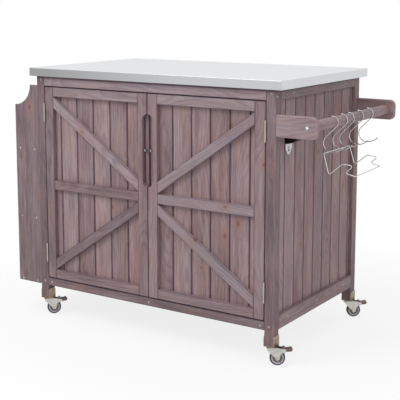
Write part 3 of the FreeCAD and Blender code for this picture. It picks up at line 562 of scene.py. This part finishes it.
def shells(node):
    """The closed solids of a node, each as a list of corner places.

    Two solids may touch along an edge, so only edges with just two faces join faces together.
    """
    work = welded(frame["nodes"][node].data)
    found = []
    seen = set()
    for start in work.faces:
        if start.index in seen:
            continue
        seen.add(start.index)
        reached = [start]
        corners = set()
        while reached:
            face = reached.pop()
            for vert in face.verts:
                corners.add(tuple(vert.co))
            for edge in face.edges:
                if len(edge.link_faces) != 2:
                    continue
                for other in edge.link_faces:
                    if other.index not in seen:
                        seen.add(other.index)
                        reached.append(other)
        found.append([Vector(corner) for corner in sorted(corners)])
    work.free()
    return sorted(found, key=lambda corners: tuple(corners[0]))


def box_of(corners):
    """The lowest and highest values of some corners."""
    low = Vector([min(corner[i] for corner in corners) for i in range(3)])
    high = Vector([max(corner[i] for corner in corners) for i in range(3)])
    return low, high


def make_flats_whole(work):
    """Joins faces that lie in one plane."""
    bmesh.ops.dissolve_limit(work, angle_limit=flat_angle, verts=work.verts, edges=work.edges)


def ease_edges(work, ease):
    """Rounds the sharp edges of a bmesh. Gives the new faces."""
    sharp = [edge for edge in work.edges if edge.calc_face_angle(0.0) > bevel_angle]
    made = bmesh.ops.bevel(
        work,
        geom=sharp,
        offset=ease,
        segments=bevel_steps,
        profile=0.5,
        affect="EDGES",
        clamp_overlap=True,
    )
    return made["faces"]


def hull(corners):
    """A convex board through the given corners, with flat faces made whole."""
    board = bmesh.new()
    for corner in corners:
        board.verts.new(corner)
    bmesh.ops.convex_hull(board, input=board.verts)
    loose = [vert for vert in board.verts if not vert.link_faces]
    bmesh.ops.delete(board, geom=loose, context="VERTS")
    make_flats_whole(board)
    bmesh.ops.recalc_face_normals(board, faces=board.faces)
    return board


def arc(centre_x, centre_z, radius, start, end):
    """Points on an arc between two angles in degrees."""
    points = []
    for i in range(arc_steps + 1):
        turn = math.radians(start + (end - start) * i / arc_steps)
        points.append((centre_x + radius * math.cos(turn), centre_z + radius * math.sin(turn)))
    return points


def extruded(outline, low_y, high_y):
    """A board whose outline, in X and Z, is pushed along Y."""
    board = bmesh.new()
    rings = []
    for y in (low_y, high_y):
        ring = [board.verts.new((x, y, z)) for x, z in outline]
        rings.append(ring)
        board.faces.new(ring)
    count = len(outline)
    for i in range(count):
        j = (i + 1) % count
        board.faces.new((rings[0][i], rings[0][j], rings[1][j], rings[1][i]))
    bmesh.ops.recalc_face_normals(board, faces=board.faces)
    return board


def lathe(profile, matrix, marked=None):
    """A closed ring profile, of radius and axial place, turned about the Z axis of a matrix.

    marked says for which faces, by their middle radius, the ring attribute is 1.
    """
    turned = bmesh.new()
    ring_mark = turned.faces.layers.float.new("ring")
    rows = []
    for i in range(round_steps):
        turn = 2 * math.pi * i / round_steps
        row = []
        for radius, along in profile:
            corner = Vector((radius * math.cos(turn), radius * math.sin(turn), along))
            row.append(turned.verts.new(matrix @ corner))
        rows.append(row)
    count = len(profile)
    for i in range(round_steps):
        for j in range(count):
            k = (j + 1) % count
            if profile[j][0] < weld_distance and profile[k][0] < weld_distance:
                continue
            face = turned.faces.new((rows[i][j], rows[i - 1][j], rows[i - 1][k], rows[i][k]))
            radius = (profile[j][0] + profile[k][0]) / 2
            face[ring_mark] = 1.0 if marked and marked(radius) else 0.0
    bmesh.ops.remove_doubles(turned, verts=turned.verts, dist=weld_distance)
    bmesh.ops.recalc_face_normals(turned, faces=turned.faces)
    return turned


def face_width(face):
    """How wide a long face is."""
    return face.calc_area() / max(edge.calc_length() for edge in face.edges)


def long_axes(board):
    """The directions along, across and through a board, from its longest edge and its widths."""
    longest = max(board.edges, key=lambda edge: edge.calc_length())
    along = (longest.verts[1].co - longest.verts[0].co).normalized()
    helper = Vector((0, 1, 0)) if abs(along.y) < aligned_share else Vector((0, 0, 1))
    across = along.cross(helper).normalized()
    through = along.cross(across)
    spans = []
    for axis in (across, through):
        places = [vert.co.dot(axis) for vert in board.verts]
        spans.append(max(places) - min(places))
    if spans[1] > spans[0]:
        across, through = through, across
    return along, across, through


def add_rims(board, edge_tone):
    """Insets a board's wide convex faces, so that stain or wear fades inwards from their corners."""
    rim = board.verts.layers.float.new("rim")
    wide = []
    for face in board.faces:
        if face_width(face) > rim_face_width and all(loop.is_convex for loop in face.loops):
            wide.append(face)
            for vert in face.verts:
                vert[rim] = edge_tone
    bmesh.ops.inset_individual(board, faces=wide, thickness=rim_width)
    for face in wide:
        for vert in face.verts:
            vert[rim] = 0.0


def mark_grooves(board, mark, axes):
    """Marks the narrow sloping faces along a board's long edges as dark."""
    for face in board.faces:
        spread = sorted(abs(face.normal.dot(axis)) for axis in axes)
        sloping = spread[1] > groove_slope and spread[0] < groove_slope
        if sloping and face_width(face) < groove_width:
            face[mark] = dark_edge


def mark_painted_shadow_line(board, mark):
    """Marks a strip right under the worktop as a dark edge: a painted shadow of the worktop's overhang."""
    top = max(vert.co.z for vert in board.verts)
    if abs(top - worktop_low.z) > shadow_line_reach:
        return
    level = top - shadow_line_width
    everything = board.verts[:] + board.edges[:] + board.faces[:]
    bmesh.ops.bisect_plane(board, geom=everything, plane_co=(0, 0, level), plane_no=(0, 0, 1))
    for face in board.faces:
        if face.calc_center_median().z > level:
            face[mark] = dark_edge


def dress_board(board, ease=board_ease, edge_tone=dark_edge, grooved=False):
    """Eases a board's edges, and stores its grain and its marked faces for the wood material."""
    axes = long_axes(board)
    mark = board.faces.layers.float.new("edge")
    # A painted shadow strip under the worktop
    mark_painted_shadow_line(board, mark)
    if grooved:
        mark_grooves(board, mark, axes)
    for face in ease_edges(board, ease):
        face[mark] = edge_tone
    add_rims(board, edge_tone)
    pith = Vector([random.uniform(*reach) for reach in (pith_along, pith_across, pith_under)])
    grain = board.verts.layers.float_vector.new("grain")
    low, high = box_of([vert.co for vert in board.verts])
    middle = (low + high) / 2
    for vert in board.verts:
        offset = vert.co - middle
        vert[grain] = Vector([offset.dot(axis) for axis in axes]) + pith
    return board


def joined(name, pieces, material):
    """One object from several bmesh pieces, smooth across its rounded edges only."""
    whole = bmesh.new()
    for piece in pieces:
        part = bpy.data.meshes.new("part")
        piece.to_mesh(part)
        piece.free()
        whole.from_mesh(part)
        bpy.data.meshes.remove(part)
    for face in whole.faces:
        face.smooth = True
    for edge in whole.edges:
        if edge.calc_face_angle(0.0) > sharp_angle:
            edge.smooth = False
    mesh = bpy.data.meshes.new(name)
    whole.to_mesh(mesh)
    whole.free()
    mesh.materials.append(material)
    thing = bpy.data.objects.new(name, mesh)
    bpy.context.scene.collection.objects.link(thing)
    even = thing.modifiers.new("even_normals", "WEIGHTED_NORMAL")
    even.keep_sharp = True
    return thing


slots = {row["node"]: row["material_slot"] for row in frame["record"]["subparts"]}
body_of = {}
for body_name, members in frame["record"]["behaviour"]["bodies"].items():
    for member in members:
        body_of[member] = body_name
joints = {joint["name"]: joint for joint in frame["joints"]}


def place(piece, node):
    """Puts a piece on the body of the node that it stands for."""
    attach(piece, body_of[node])
    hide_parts(node)


frame_wood = wood_material("frame_wood", srgb(171, 150, 152), srgb(113, 93, 97), bare_share=0.35)
board_wood = wood_material("board_wood", srgb(186, 161, 162), srgb(116, 93, 97), bare_share=0.6)
inside_wood = wood_material("inside_wood", srgb(150, 132, 128), srgb(100, 84, 84), bare_share=0.4)
core_wood = wood_material("core_wood", srgb(190, 168, 138), srgb(144, 120, 92), bare_share=0.2)
# The second colour is the painted shade of the tray's folded edge
worktop_steel = sheet_material("worktop_steel", srgb(214, 215, 217), srgb(158, 159, 159))
plated_steel = metal_material("plated_steel", srgb(186, 181, 174), roughness=0.32, spots=0.3)
screw_steel = metal_material("screw_steel", srgb(168, 165, 168), roughness=0.42, spots=0.2)
bolt_steel = metal_material("bolt_steel", srgb(222, 221, 222), roughness=0.28, spots=0.2)
knob_metal = metal_material("knob_metal", srgb(146, 137, 142), roughness=0.36)
fork_zinc = metal_material("fork_zinc", srgb(202, 201, 196), roughness=0.3, spots=0.45)
bracket_zinc = metal_material("bracket_zinc", srgb(160, 145, 124), roughness=0.36, spots=0.6)
wire_steel = metal_material("wire_steel", srgb(204, 203, 202), roughness=0.14, spots=0.1)
opener_steel = metal_material("opener_steel", srgb(196, 200, 200), roughness=0.3, spots=0.3)
black_metal = metal_material("black_metal", srgb(58, 52, 52), roughness=0.4)
tyre_rubber = plastic_material("tyre_rubber", srgb(72, 74, 80), roughness=0.62)
hub_plastic = plastic_material(
    "hub_plastic", srgb(148, 132, 122), roughness=0.5, ring_colour=srgb(216, 214, 228)
)
pedal_plastic = plastic_material("pedal_plastic", srgb(128, 104, 102), roughness=0.45)
catch_plastic = plastic_material("catch_plastic", srgb(96, 76, 62), roughness=0.55)

# The record's slots that are wood
woods = {
    "frame_wood": frame_wood,
    "board_wood": board_wood,
    "inside_wood": inside_wood,
    "core_board": core_wood,
}


def wooden(node, boards):
    """Stands dressed boards in for a wooden node, each board with a tone of its own, and painted shade on the
    planks behind the hand slot.
    """
    tones = board_tones.get(node) or [random.uniform(*usual_tones) for _ in boards]
    for board, tint in zip(boards, tones, strict=True):
        tone = board.verts.layers.float.new("tint")
        nearest = min(abs(vert.co.x - worktop_middle.x) for vert in board.verts)
        # Painted shade: the planks behind the hand slot are darker
        if node.endswith("planks") and nearest < slot_reach:
            tint -= slot_shade
        for vert in board.verts:
            vert[tone] = tint
    place(joined(f"{node}_wood", boards, woods[slots[node]]), node)


def plain_boards(node):
    """A convex board for each solid of a node."""
    grooved = node.endswith(("slats", "planks"))
    ease = groove_ease if grooved else board_ease
    edge_tone = worn_edge if node.startswith("leg") else dark_edge
    return [dress_board(hull(corners), ease, edge_tone, grooved) for corners in shells(node)]


def meeting_stile(corners):
    """A door stile with half of the hand slot cut in its meeting edge."""
    low, high = box_of(corners)
    on_left = high.x < worktop_middle.x
    inner, outer = (high.x, low.x) if on_left else (low.x, high.x)
    side = -1.0 if on_left else 1.0
    turn_in = math.degrees(math.asin(abs(inner - worktop_middle.x) / hand_slot_radius))
    half_slot = hand_slot_length / 2 - hand_slot_radius
    points = [(inner, low.z), (outer, low.z), (outer, high.z), (inner, high.z)]
    for level, start, end in (
        (hand_slot_level + half_slot, 90.0 - turn_in, 0.0),
        (hand_slot_level - half_slot, 0.0, turn_in - 90.0),
    ):
        for x, z in arc(0.0, level, hand_slot_radius, start, end):
            points.append((worktop_middle.x + side * x, z))
    return dress_board(extruded(points, low.y, high.y))


def add_door_frame(node):
    """A door's stiles and rails. The stile nearest the cart's middle has the hand slot."""
    solids = shells(node)
    by_nearness = sorted(
        solids, key=lambda corners: min(abs(corner.x - worktop_middle.x) for corner in corners)
    )
    boards = [meeting_stile(by_nearness[0])]
    boards += [dress_board(hull(corners)) for corners in by_nearness[1:]]
    wooden(node, boards)


def scooped_board(corners):
    """An end board of the spice rack, with a quarter-round scoop at its upper outer corner."""
    low, high = box_of(corners)
    points = [(low.x, low.z), (high.x, low.z), (high.x, high.z)]
    points += arc(low.x, high.z, scoop_radius, 0.0, -90.0)
    return dress_board(extruded(points, low.y, high.y), edge_tone=worn_edge)


def towel_arm(corners):
    """An arm with two round outer corners and softly rounded edges."""
    low, high = box_of(corners)
    radius = arm_corner_radius
    points = [(low.x, low.z)]
    points += arc(high.x - radius, low.z + radius, radius, -90.0, 0.0)
    points += arc(high.x - radius, high.z - radius, radius, 0.0, 90.0)
    points += [(low.x, high.z)]
    return dress_board(extruded(points, low.y, high.y), arm_ease, worn_edge)


def towel_bar(corners):
    """The round bar between the arms."""
    low, high = box_of(corners)
    radius = (high.z - low.z) / 2
    middle = (low.x + high.x) / 2
    outline = []
    for i in range(round_steps):
        turn = 2 * math.pi * i / round_steps
        outline.append((middle + radius * math.cos(turn), low.z + radius * (1 + math.sin(turn))))
    return dress_board(extruded(outline, low.y, high.y), groove_ease)


def add_woodwork():
    """Boards in place of every wooden node, some of them with an outline of their own."""
    shaped = {
        "spice_rack_ends": scooped_board,
        "towel_arm_front": towel_arm,
        "towel_arm_rear": towel_arm,
        "towel_bar": towel_bar,
    }
    for node, slot in slots.items():
        if slot not in woods:
            continue
        if node.endswith("door_frame"):
            add_door_frame(node)
        elif node in shaped:
            wooden(node, [shaped[node](corners) for corners in shells(node)])
        else:
            wooden(node, plain_boards(node))


def eased_copy(node, ease):
    """A node's own form with its flat faces made whole and its edges rounded."""
    work = welded(frame["nodes"][node].data)
    make_flats_whole(work)
    if ease:
        ease_edges(work, ease)
    return work


def add_eased(node, material, ease=metal_ease):
    """Stands a node's own form with rounded edges in for the node."""
    place(joined(f"{node}_piece", [eased_copy(node, ease)], material), node)


def tray_path():
    """Places round the tray with outward directions, and how deep the corner seam is there."""
    path = []
    corners = (
        (worktop_high.x - tray_corner, worktop_high.y - tray_corner),
        (worktop_low.x + tray_corner, worktop_high.y - tray_corner),
        (worktop_low.x + tray_corner, worktop_low.y + tray_corner),
        (worktop_high.x - tray_corner, worktop_low.y + tray_corner),
    )
    bend_steps = arc_steps // 2
    for side, corner in enumerate(corners):
        centre = Vector((*corner, 0))
        for i in range(bend_steps + 1):
            turn = math.radians(90.0 * (side + i / bend_steps))
            out = Vector((math.cos(turn), math.sin(turn), 0))
            path.append((centre + out * tray_corner, out, 0.0))
        ahead = Vector((-out.y, out.x, 0))
        start = centre + out * tray_corner
        for step, depth in ((1, 0.0), (2, seam_depth), (3, 0.0)):
            path.append((start + ahead * seam_half_width * step, out, depth))
        run = Vector((*corners[(side + 1) % 4], 0)) - centre
        for step in range(1, tray_run_steps):
            path.append((start + run * step / tray_run_steps, out, 0.0))
    return path


def flange_shade(point, out):
    """Painted shade on the folded edge, for its darker reflection: most at the front's left end, none on the right
    side.
    """
    share = (point.x - worktop_low.x) / (worktop_high.x - worktop_low.x)
    if out.y < -facing_share:
        return max(front_least, front_painted_shade - front_fall * share)
    return 0.0 if out.x > facing_share else other_painted_shade


def add_tray():
    """The folded steel sheet: a flat top, a tight bend, and a flange with a lip and corner seams."""
    top = worktop_high.z
    bottom = worktop_low.z
    profile = [(tray_rim, top, 0.0)]
    for i in range(1, tray_bend_steps + 1):
        turn = math.radians(90.0 * i / tray_bend_steps)
        inset = tray_rim * (1 - math.sin(turn))
        profile.append((inset, top - tray_rim * (1 - math.cos(turn)), i / tray_bend_steps))
    profile += [
        (0.0, bottom + tray_lip, 1.0),
        (tray_lip * lip_share, bottom + tray_lip * lip_share, 1.0),
        (tray_lip, bottom, 1.0),
        (tray_sheet, bottom, 1.0),
        (tray_sheet, top - tray_sheet, 1.0),
    ]
    tray = bmesh.new()
    shade = tray.verts.layers.float.new("shade")
    rows = []
    for point, out, depth in tray_path():
        row = []
        for inset, level, folded in profile:
            seam = depth if inset < tray_lip and level < top - tray_rim else 0.0
            corner = point - out * (inset + seam)
            vert = tray.verts.new((corner.x, corner.y, level))
            # Painted shade on the folded edge, for its darker reflection
            vert[shade] = folded * flange_shade(point, out)
            row.append(vert)
        rows.append(row)
    for i, row in enumerate(rows):
        for j in range(len(profile) - 1):
            tray.faces.new((rows[i - 1][j], row[j], row[j + 1], rows[i - 1][j + 1]))
    tray.faces.new([row[0] for row in rows])
    tray.faces.new([row[-1] for row in rows])
    bmesh.ops.recalc_face_normals(tray, faces=tray.faces)
    place(joined("worktop_tray_sheet", [tray], worktop_steel), "worktop_tray")


def screw_piece(corners):
    """A screw in place of a CAD screw: a dome with a cross recess, or a plain pin inside the wood."""
    low, high = box_of(corners)
    span = high - low
    axis = max(range(3), key=lambda i: span[i])
    middle = (low + high) / 2
    others = [i for i in range(3) if i != axis]

    def radius_of(corner):
        return math.hypot(*(corner[i] - middle[i] for i in others))

    head_radius = max(radius_of(corner) for corner in corners)
    headed = head_radius > shank_radius * least_head_share
    outward = Vector((0, 0, 0))
    outward[axis] = 1.0
    if headed:
        seat_radius = head_radius * seat_share
        base = next(corner[axis] for corner in corners if radius_of(corner) > seat_radius)
        if abs(base - low[axis]) < abs(base - high[axis]):
            outward[axis] = -1.0
        crown = high[axis] if outward[axis] > 0 else low[axis]
        head_height = abs(crown - base)
    else:
        base = high[axis]
        head_height = 0.0
    start = middle.copy()
    start[axis] = base
    length = span[axis] - head_height
    matrix = Matrix.Translation(start) @ outward.to_track_quat("Z", "Y").to_matrix().to_4x4()
    form = screw_form(matrix, length, head_radius if headed else 0.0, head_height)
    for face in form.faces:
        face.material_index = 1 if head_radius > bolt_head_radius else 0
    return form


def screw_form(matrix, length, head_radius, head_height):
    """The screw itself, with its seat at the matrix's origin and its head along +Z."""
    form = bmesh.new()
    plus = cross_outline()
    rings = []

    def add_ring(points, level_of):
        rings.append([form.verts.new(matrix @ Vector((x, y, level_of(x, y)))) for x, y in points])

    if head_radius:
        dome_radius = (head_radius**2 + head_height**2) / (2 * head_height)

        def dome(x, y):
            reach = min(math.hypot(x, y), head_radius)
            return math.sqrt(dome_radius**2 - reach**2) - dome_radius + head_height

        inner = [(x * head_radius, y * head_radius) for x, y in plus]
        floor = head_height * recess_floor_share
        add_ring([(x * recess_taper, y * recess_taper) for x, y in inner], lambda x, y: floor)
        add_ring(inner, dome)
        for share in dome_rings:
            outer = []
            for x, y in inner:
                away = math.hypot(x, y)
                reach = away + (head_radius - away) * share
                outer.append((x * reach / away, y * reach / away))
            add_ring(outer, dome)
    shank = []
    for x, y in plus:
        away = math.hypot(x, y)
        shank.append((x * shank_radius / away, y * shank_radius / away))
    add_ring(shank, lambda x, y: 0.0)
    add_ring(shank, lambda x, y: -length)
    for first, second in zip(rings[:-1], rings[1:]):
        for i in range(len(first)):
            form.faces.new((first[i - 1], first[i], second[i], second[i - 1]))
    form.faces.new(rings[0])
    form.faces.new(rings[-1])
    bmesh.ops.recalc_face_normals(form, faces=form.faces)
    return form


def cross_outline():
    """A plus sign's corners and the middles between them, for a head of radius 1."""
    width = recess_half_width
    reach = recess_reach
    arm = [(width, width), (reach, width), (reach, 0.0), (reach, -width)]
    corners = []
    for quarter in range(4):
        turn = -math.pi / 2 * quarter
        cosine = math.cos(turn)
        sine = math.sin(turn)
        for x, y in arm:
            corners.append((x * cosine - y * sine, x * sine + y * cosine))
    return corners


def add_screws():
    """All the loose screws as one piece. The bolt heads are of a brighter steel."""
    forms = [screw_piece(corners) for corners in shells("screws")]
    screws = joined("screws_crossed", forms, screw_steel)
    screws.data.materials.append(bolt_steel)
    place(screws, "screws")


def wheel_matrix(name):
    """A matrix whose Z axis is the wheel's axle and whose origin is the wheel's middle."""
    joint = joints[f"wheel_turn_{name}"]
    turn = Vector(joint["axis"]).to_track_quat("Z", "Y").to_matrix().to_4x4()
    return Matrix.Translation(Vector(joint["pos_m"])) @ turn


def both_faces(half_profile):
    """A ring profile from one face's half: the other face is its mirror image."""
    near = [(radius, wheel_half - depth) for radius, depth in half_profile]
    return near + [(radius, -along) for radius, along in reversed(near)]


def add_tyre(name, matrix):
    """A rubber tyre with a gently crowned tread, two fine grooves and beads against the rim."""
    node = f"tyre_{name}"
    place(joined(f"{node}_rubber", [lathe(both_faces(tyre_profile), matrix)], tyre_rubber), node)


def hub_ribs(matrix, turn):
    """A thin upright rib across the hub's recess, on both faces."""
    ribs = []
    length = rim_inner - boss_radius
    height = recess_depth * hub_rib_share
    for side in (-1, 1):
        rib = bmesh.new()
        bmesh.ops.create_cube(rib, size=1.0)
        scale = Matrix.Diagonal((length, hub_rib_width, height, 1.0))
        shift = Matrix.Translation((boss_radius + length / 2, 0, side * (wheel_half - height)))
        rib.transform(matrix @ Matrix.Rotation(turn, 4, "Z") @ shift @ scale)
        ribs.append(rib)
    return ribs


def add_hub(name, matrix):
    """A moulded core with a pale rim, a recess with ribs, and a boss round the axle."""
    rim_start = rim_inner - rim_mark_width
    hub = lathe(both_faces(hub_profile), matrix, marked=lambda radius: radius > rim_start)
    ribs = []
    for i in range(hub_rib_count):
        ribs += hub_ribs(matrix, 2 * math.pi * i / hub_rib_count)
    node = f"hub_{name}"
    place(joined(f"{node}_core", [hub] + ribs, hub_plastic), node)


def add_casters():
    """The wheel, fork and pedal of each caster, and the four brackets."""
    for end_name in ("front", "rear"):
        for side_name in ("left", "right"):
            name = f"{end_name}_{side_name}"
            matrix = wheel_matrix(name)
            add_tyre(name, matrix)
            add_hub(name, matrix)
            add_eased(f"fork_{name}", fork_zinc)
            add_eased(f"pedal_{name}", pedal_plastic, pedal_ease)
    add_eased("caster_plates", bracket_zinc)


def add_knob(node):
    """A small turned knob: a neck, a flared shoulder and a domed face."""
    low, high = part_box(node)
    middle = (low + high) / 2
    radius = (high.x - low.x) / 2
    depth = high.y - low.y
    profile = [(radius * width, depth * reach) for width, reach in knob_profile]
    outward = Vector((0, -1, 0)).to_track_quat("Z", "Y").to_matrix().to_4x4()
    matrix = Matrix.Translation((middle.x, high.y, middle.z)) @ outward
    place(joined(f"{node}_turned", [lathe(profile, matrix)], knob_metal), node)


def add_opener():
    """The opener: a steel plate whose hood and tooth, all that stands in front of it, are black."""
    plate_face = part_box("bottle_opener")[0].x + opener_plate
    work = eased_copy("bottle_opener", 0.0)
    for face in work.faces:
        if face.calc_center_median().x > plate_face + weld_distance:
            face.material_index = 1
    opener = joined("bottle_opener_dark_hood", [work], opener_steel)
    opener.data.materials.append(black_metal)
    place(opener, "bottle_opener")


def add_metalwork():
    """Every piece that isn't wood."""
    add_tray()
    add_screws()
    add_casters()
    add_opener()
    for side_name in ("left", "right"):
        add_knob(f"{side_name}_door_knob")
        add_eased(f"{side_name}_door_hardware", plated_steel, fitting_ease)
    add_eased("frame_hinges", plated_steel, fitting_ease)
    add_eased("magnet_catches", catch_plastic, catch_ease)
    for node, slot in slots.items():
        if slot == "wire_steel":
            add_eased(node, wire_steel, 0.0)


def add_camera():
    """A camera that frames the cart as the photograph does."""
    data = bpy.data.cameras.new("camera")
    camera = bpy.data.objects.new("camera", data)
    bpy.context.scene.collection.objects.link(camera)
    data.sensor_width = sensor
    data.lens = sensor * focal_pixels / image_side
    data.shift_y = -shift_pixels / image_side
    turn = math.radians(camera_azimuth)
    tilt = math.radians(camera_pitch)
    ahead = Vector((-math.sin(turn) * math.cos(tilt), math.cos(turn) * math.cos(tilt), -math.sin(tilt)))
    floor_middle = Vector((worktop_middle.x, worktop_middle.y, 0))
    camera.location = floor_middle + camera_place
    camera.rotation_euler = ahead.to_track_quat("-Z", "Y").to_euler()
    bpy.context.scene.camera = camera


def seen_directly(tree):
    """1 for rays that show the background: from the camera, off gloss or through glass."""
    path = tree.nodes.new("ShaderNodeLightPath")
    seen = path.outputs["Is Camera Ray"]
    for name in ("Is Glossy Ray", "Is Transmission Ray"):
        either = tree.nodes.new("ShaderNodeMath")
        either.operation = "MAXIMUM"
        tree.links.new(seen, either.inputs[0])
        tree.links.new(path.outputs[name], either.inputs[1])
        seen = either.outputs[0]
    return seen


def floor_material():
    """A pale floor that is seen as white, with the object's shadow kept near the object."""
    n = Nodes("floor_paint")
    n.tree.nodes.remove(n.shader)
    plain = n.add("ShaderNodeBsdfDiffuse", {"Color": srgb(*floor_colour)}).outputs[0]
    bright = n.add("ShaderNodeBsdfDiffuse", {"Color": srgb(*seen_floor_colour)}).outputs[0]
    white = n.add("ShaderNodeEmission", {"Color": (1, 1, 1, 1), "Strength": 1.0}).outputs[0]
    fade = n.ramp(n.length(n.object_place()), *shadow_fade)
    share = n.line(white_share, 1.0 - white_share, fade)
    shown = n.add("ShaderNodeMixShader", {0: share, 1: bright, 2: white}).outputs[0]
    mixed = n.add("ShaderNodeMixShader", {0: seen_directly(n.tree), 1: plain, 2: shown}).outputs[0]
    n.join(mixed, n.tree.nodes["Material Output"].inputs[0])
    return n.material


def add_stage():
    """A round pale floor that reaches far behind the cart."""
    floor_mesh = bmesh.new()
    bmesh.ops.create_circle(floor_mesh, cap_ends=True, segments=floor_steps, radius=floor_radius)
    mesh = bpy.data.meshes.new("floor")
    floor_mesh.to_mesh(mesh)
    floor_mesh.free()
    mesh.materials.append(floor_material())
    floor = bpy.data.objects.new("floor", mesh)
    bpy.context.scene.collection.objects.link(floor)


def add_world():
    """A pale light from all round, with a white background where it is seen directly."""
    world = bpy.data.worlds.new("world")
    bpy.context.scene.world = world
    world.use_nodes = True
    tree = world.node_tree
    light = tree.nodes["Background"]
    light.inputs[0].default_value = srgb(*world_colour)
    light.inputs[1].default_value = world_strength
    white = tree.nodes.new("ShaderNodeBackground")
    white.inputs[0].default_value = (1, 1, 1, 1)
    mixed = tree.nodes.new("ShaderNodeMixShader")
    tree.links.new(seen_directly(tree), mixed.inputs[0])
    tree.links.new(light.outputs[0], mixed.inputs[1])
    tree.links.new(white.outputs[0], mixed.inputs[2])
    tree.links.new(mixed.outputs[0], tree.nodes["World Output"].inputs[0])


def add_lamp(name, place_at, target, size, power):
    """A square lamp that shines at its target."""
    data = bpy.data.lights.new(name, "AREA")
    data.shape = "SQUARE"
    data.size = size
    data.energy = power
    lamp = bpy.data.objects.new(name, data)
    lamp.location = place_at
    lamp.rotation_euler = (Vector(target) - Vector(place_at)).to_track_quat("-Z", "Y").to_euler()
    bpy.context.scene.collection.objects.link(lamp)


add_woodwork()
add_metalwork()
add_camera()
add_stage()
add_world()
for lamp_name, settings in lamps.items():
    add_lamp(lamp_name, **settings)

scene = bpy.context.scene
scene.view_settings.view_transform = "Standard"
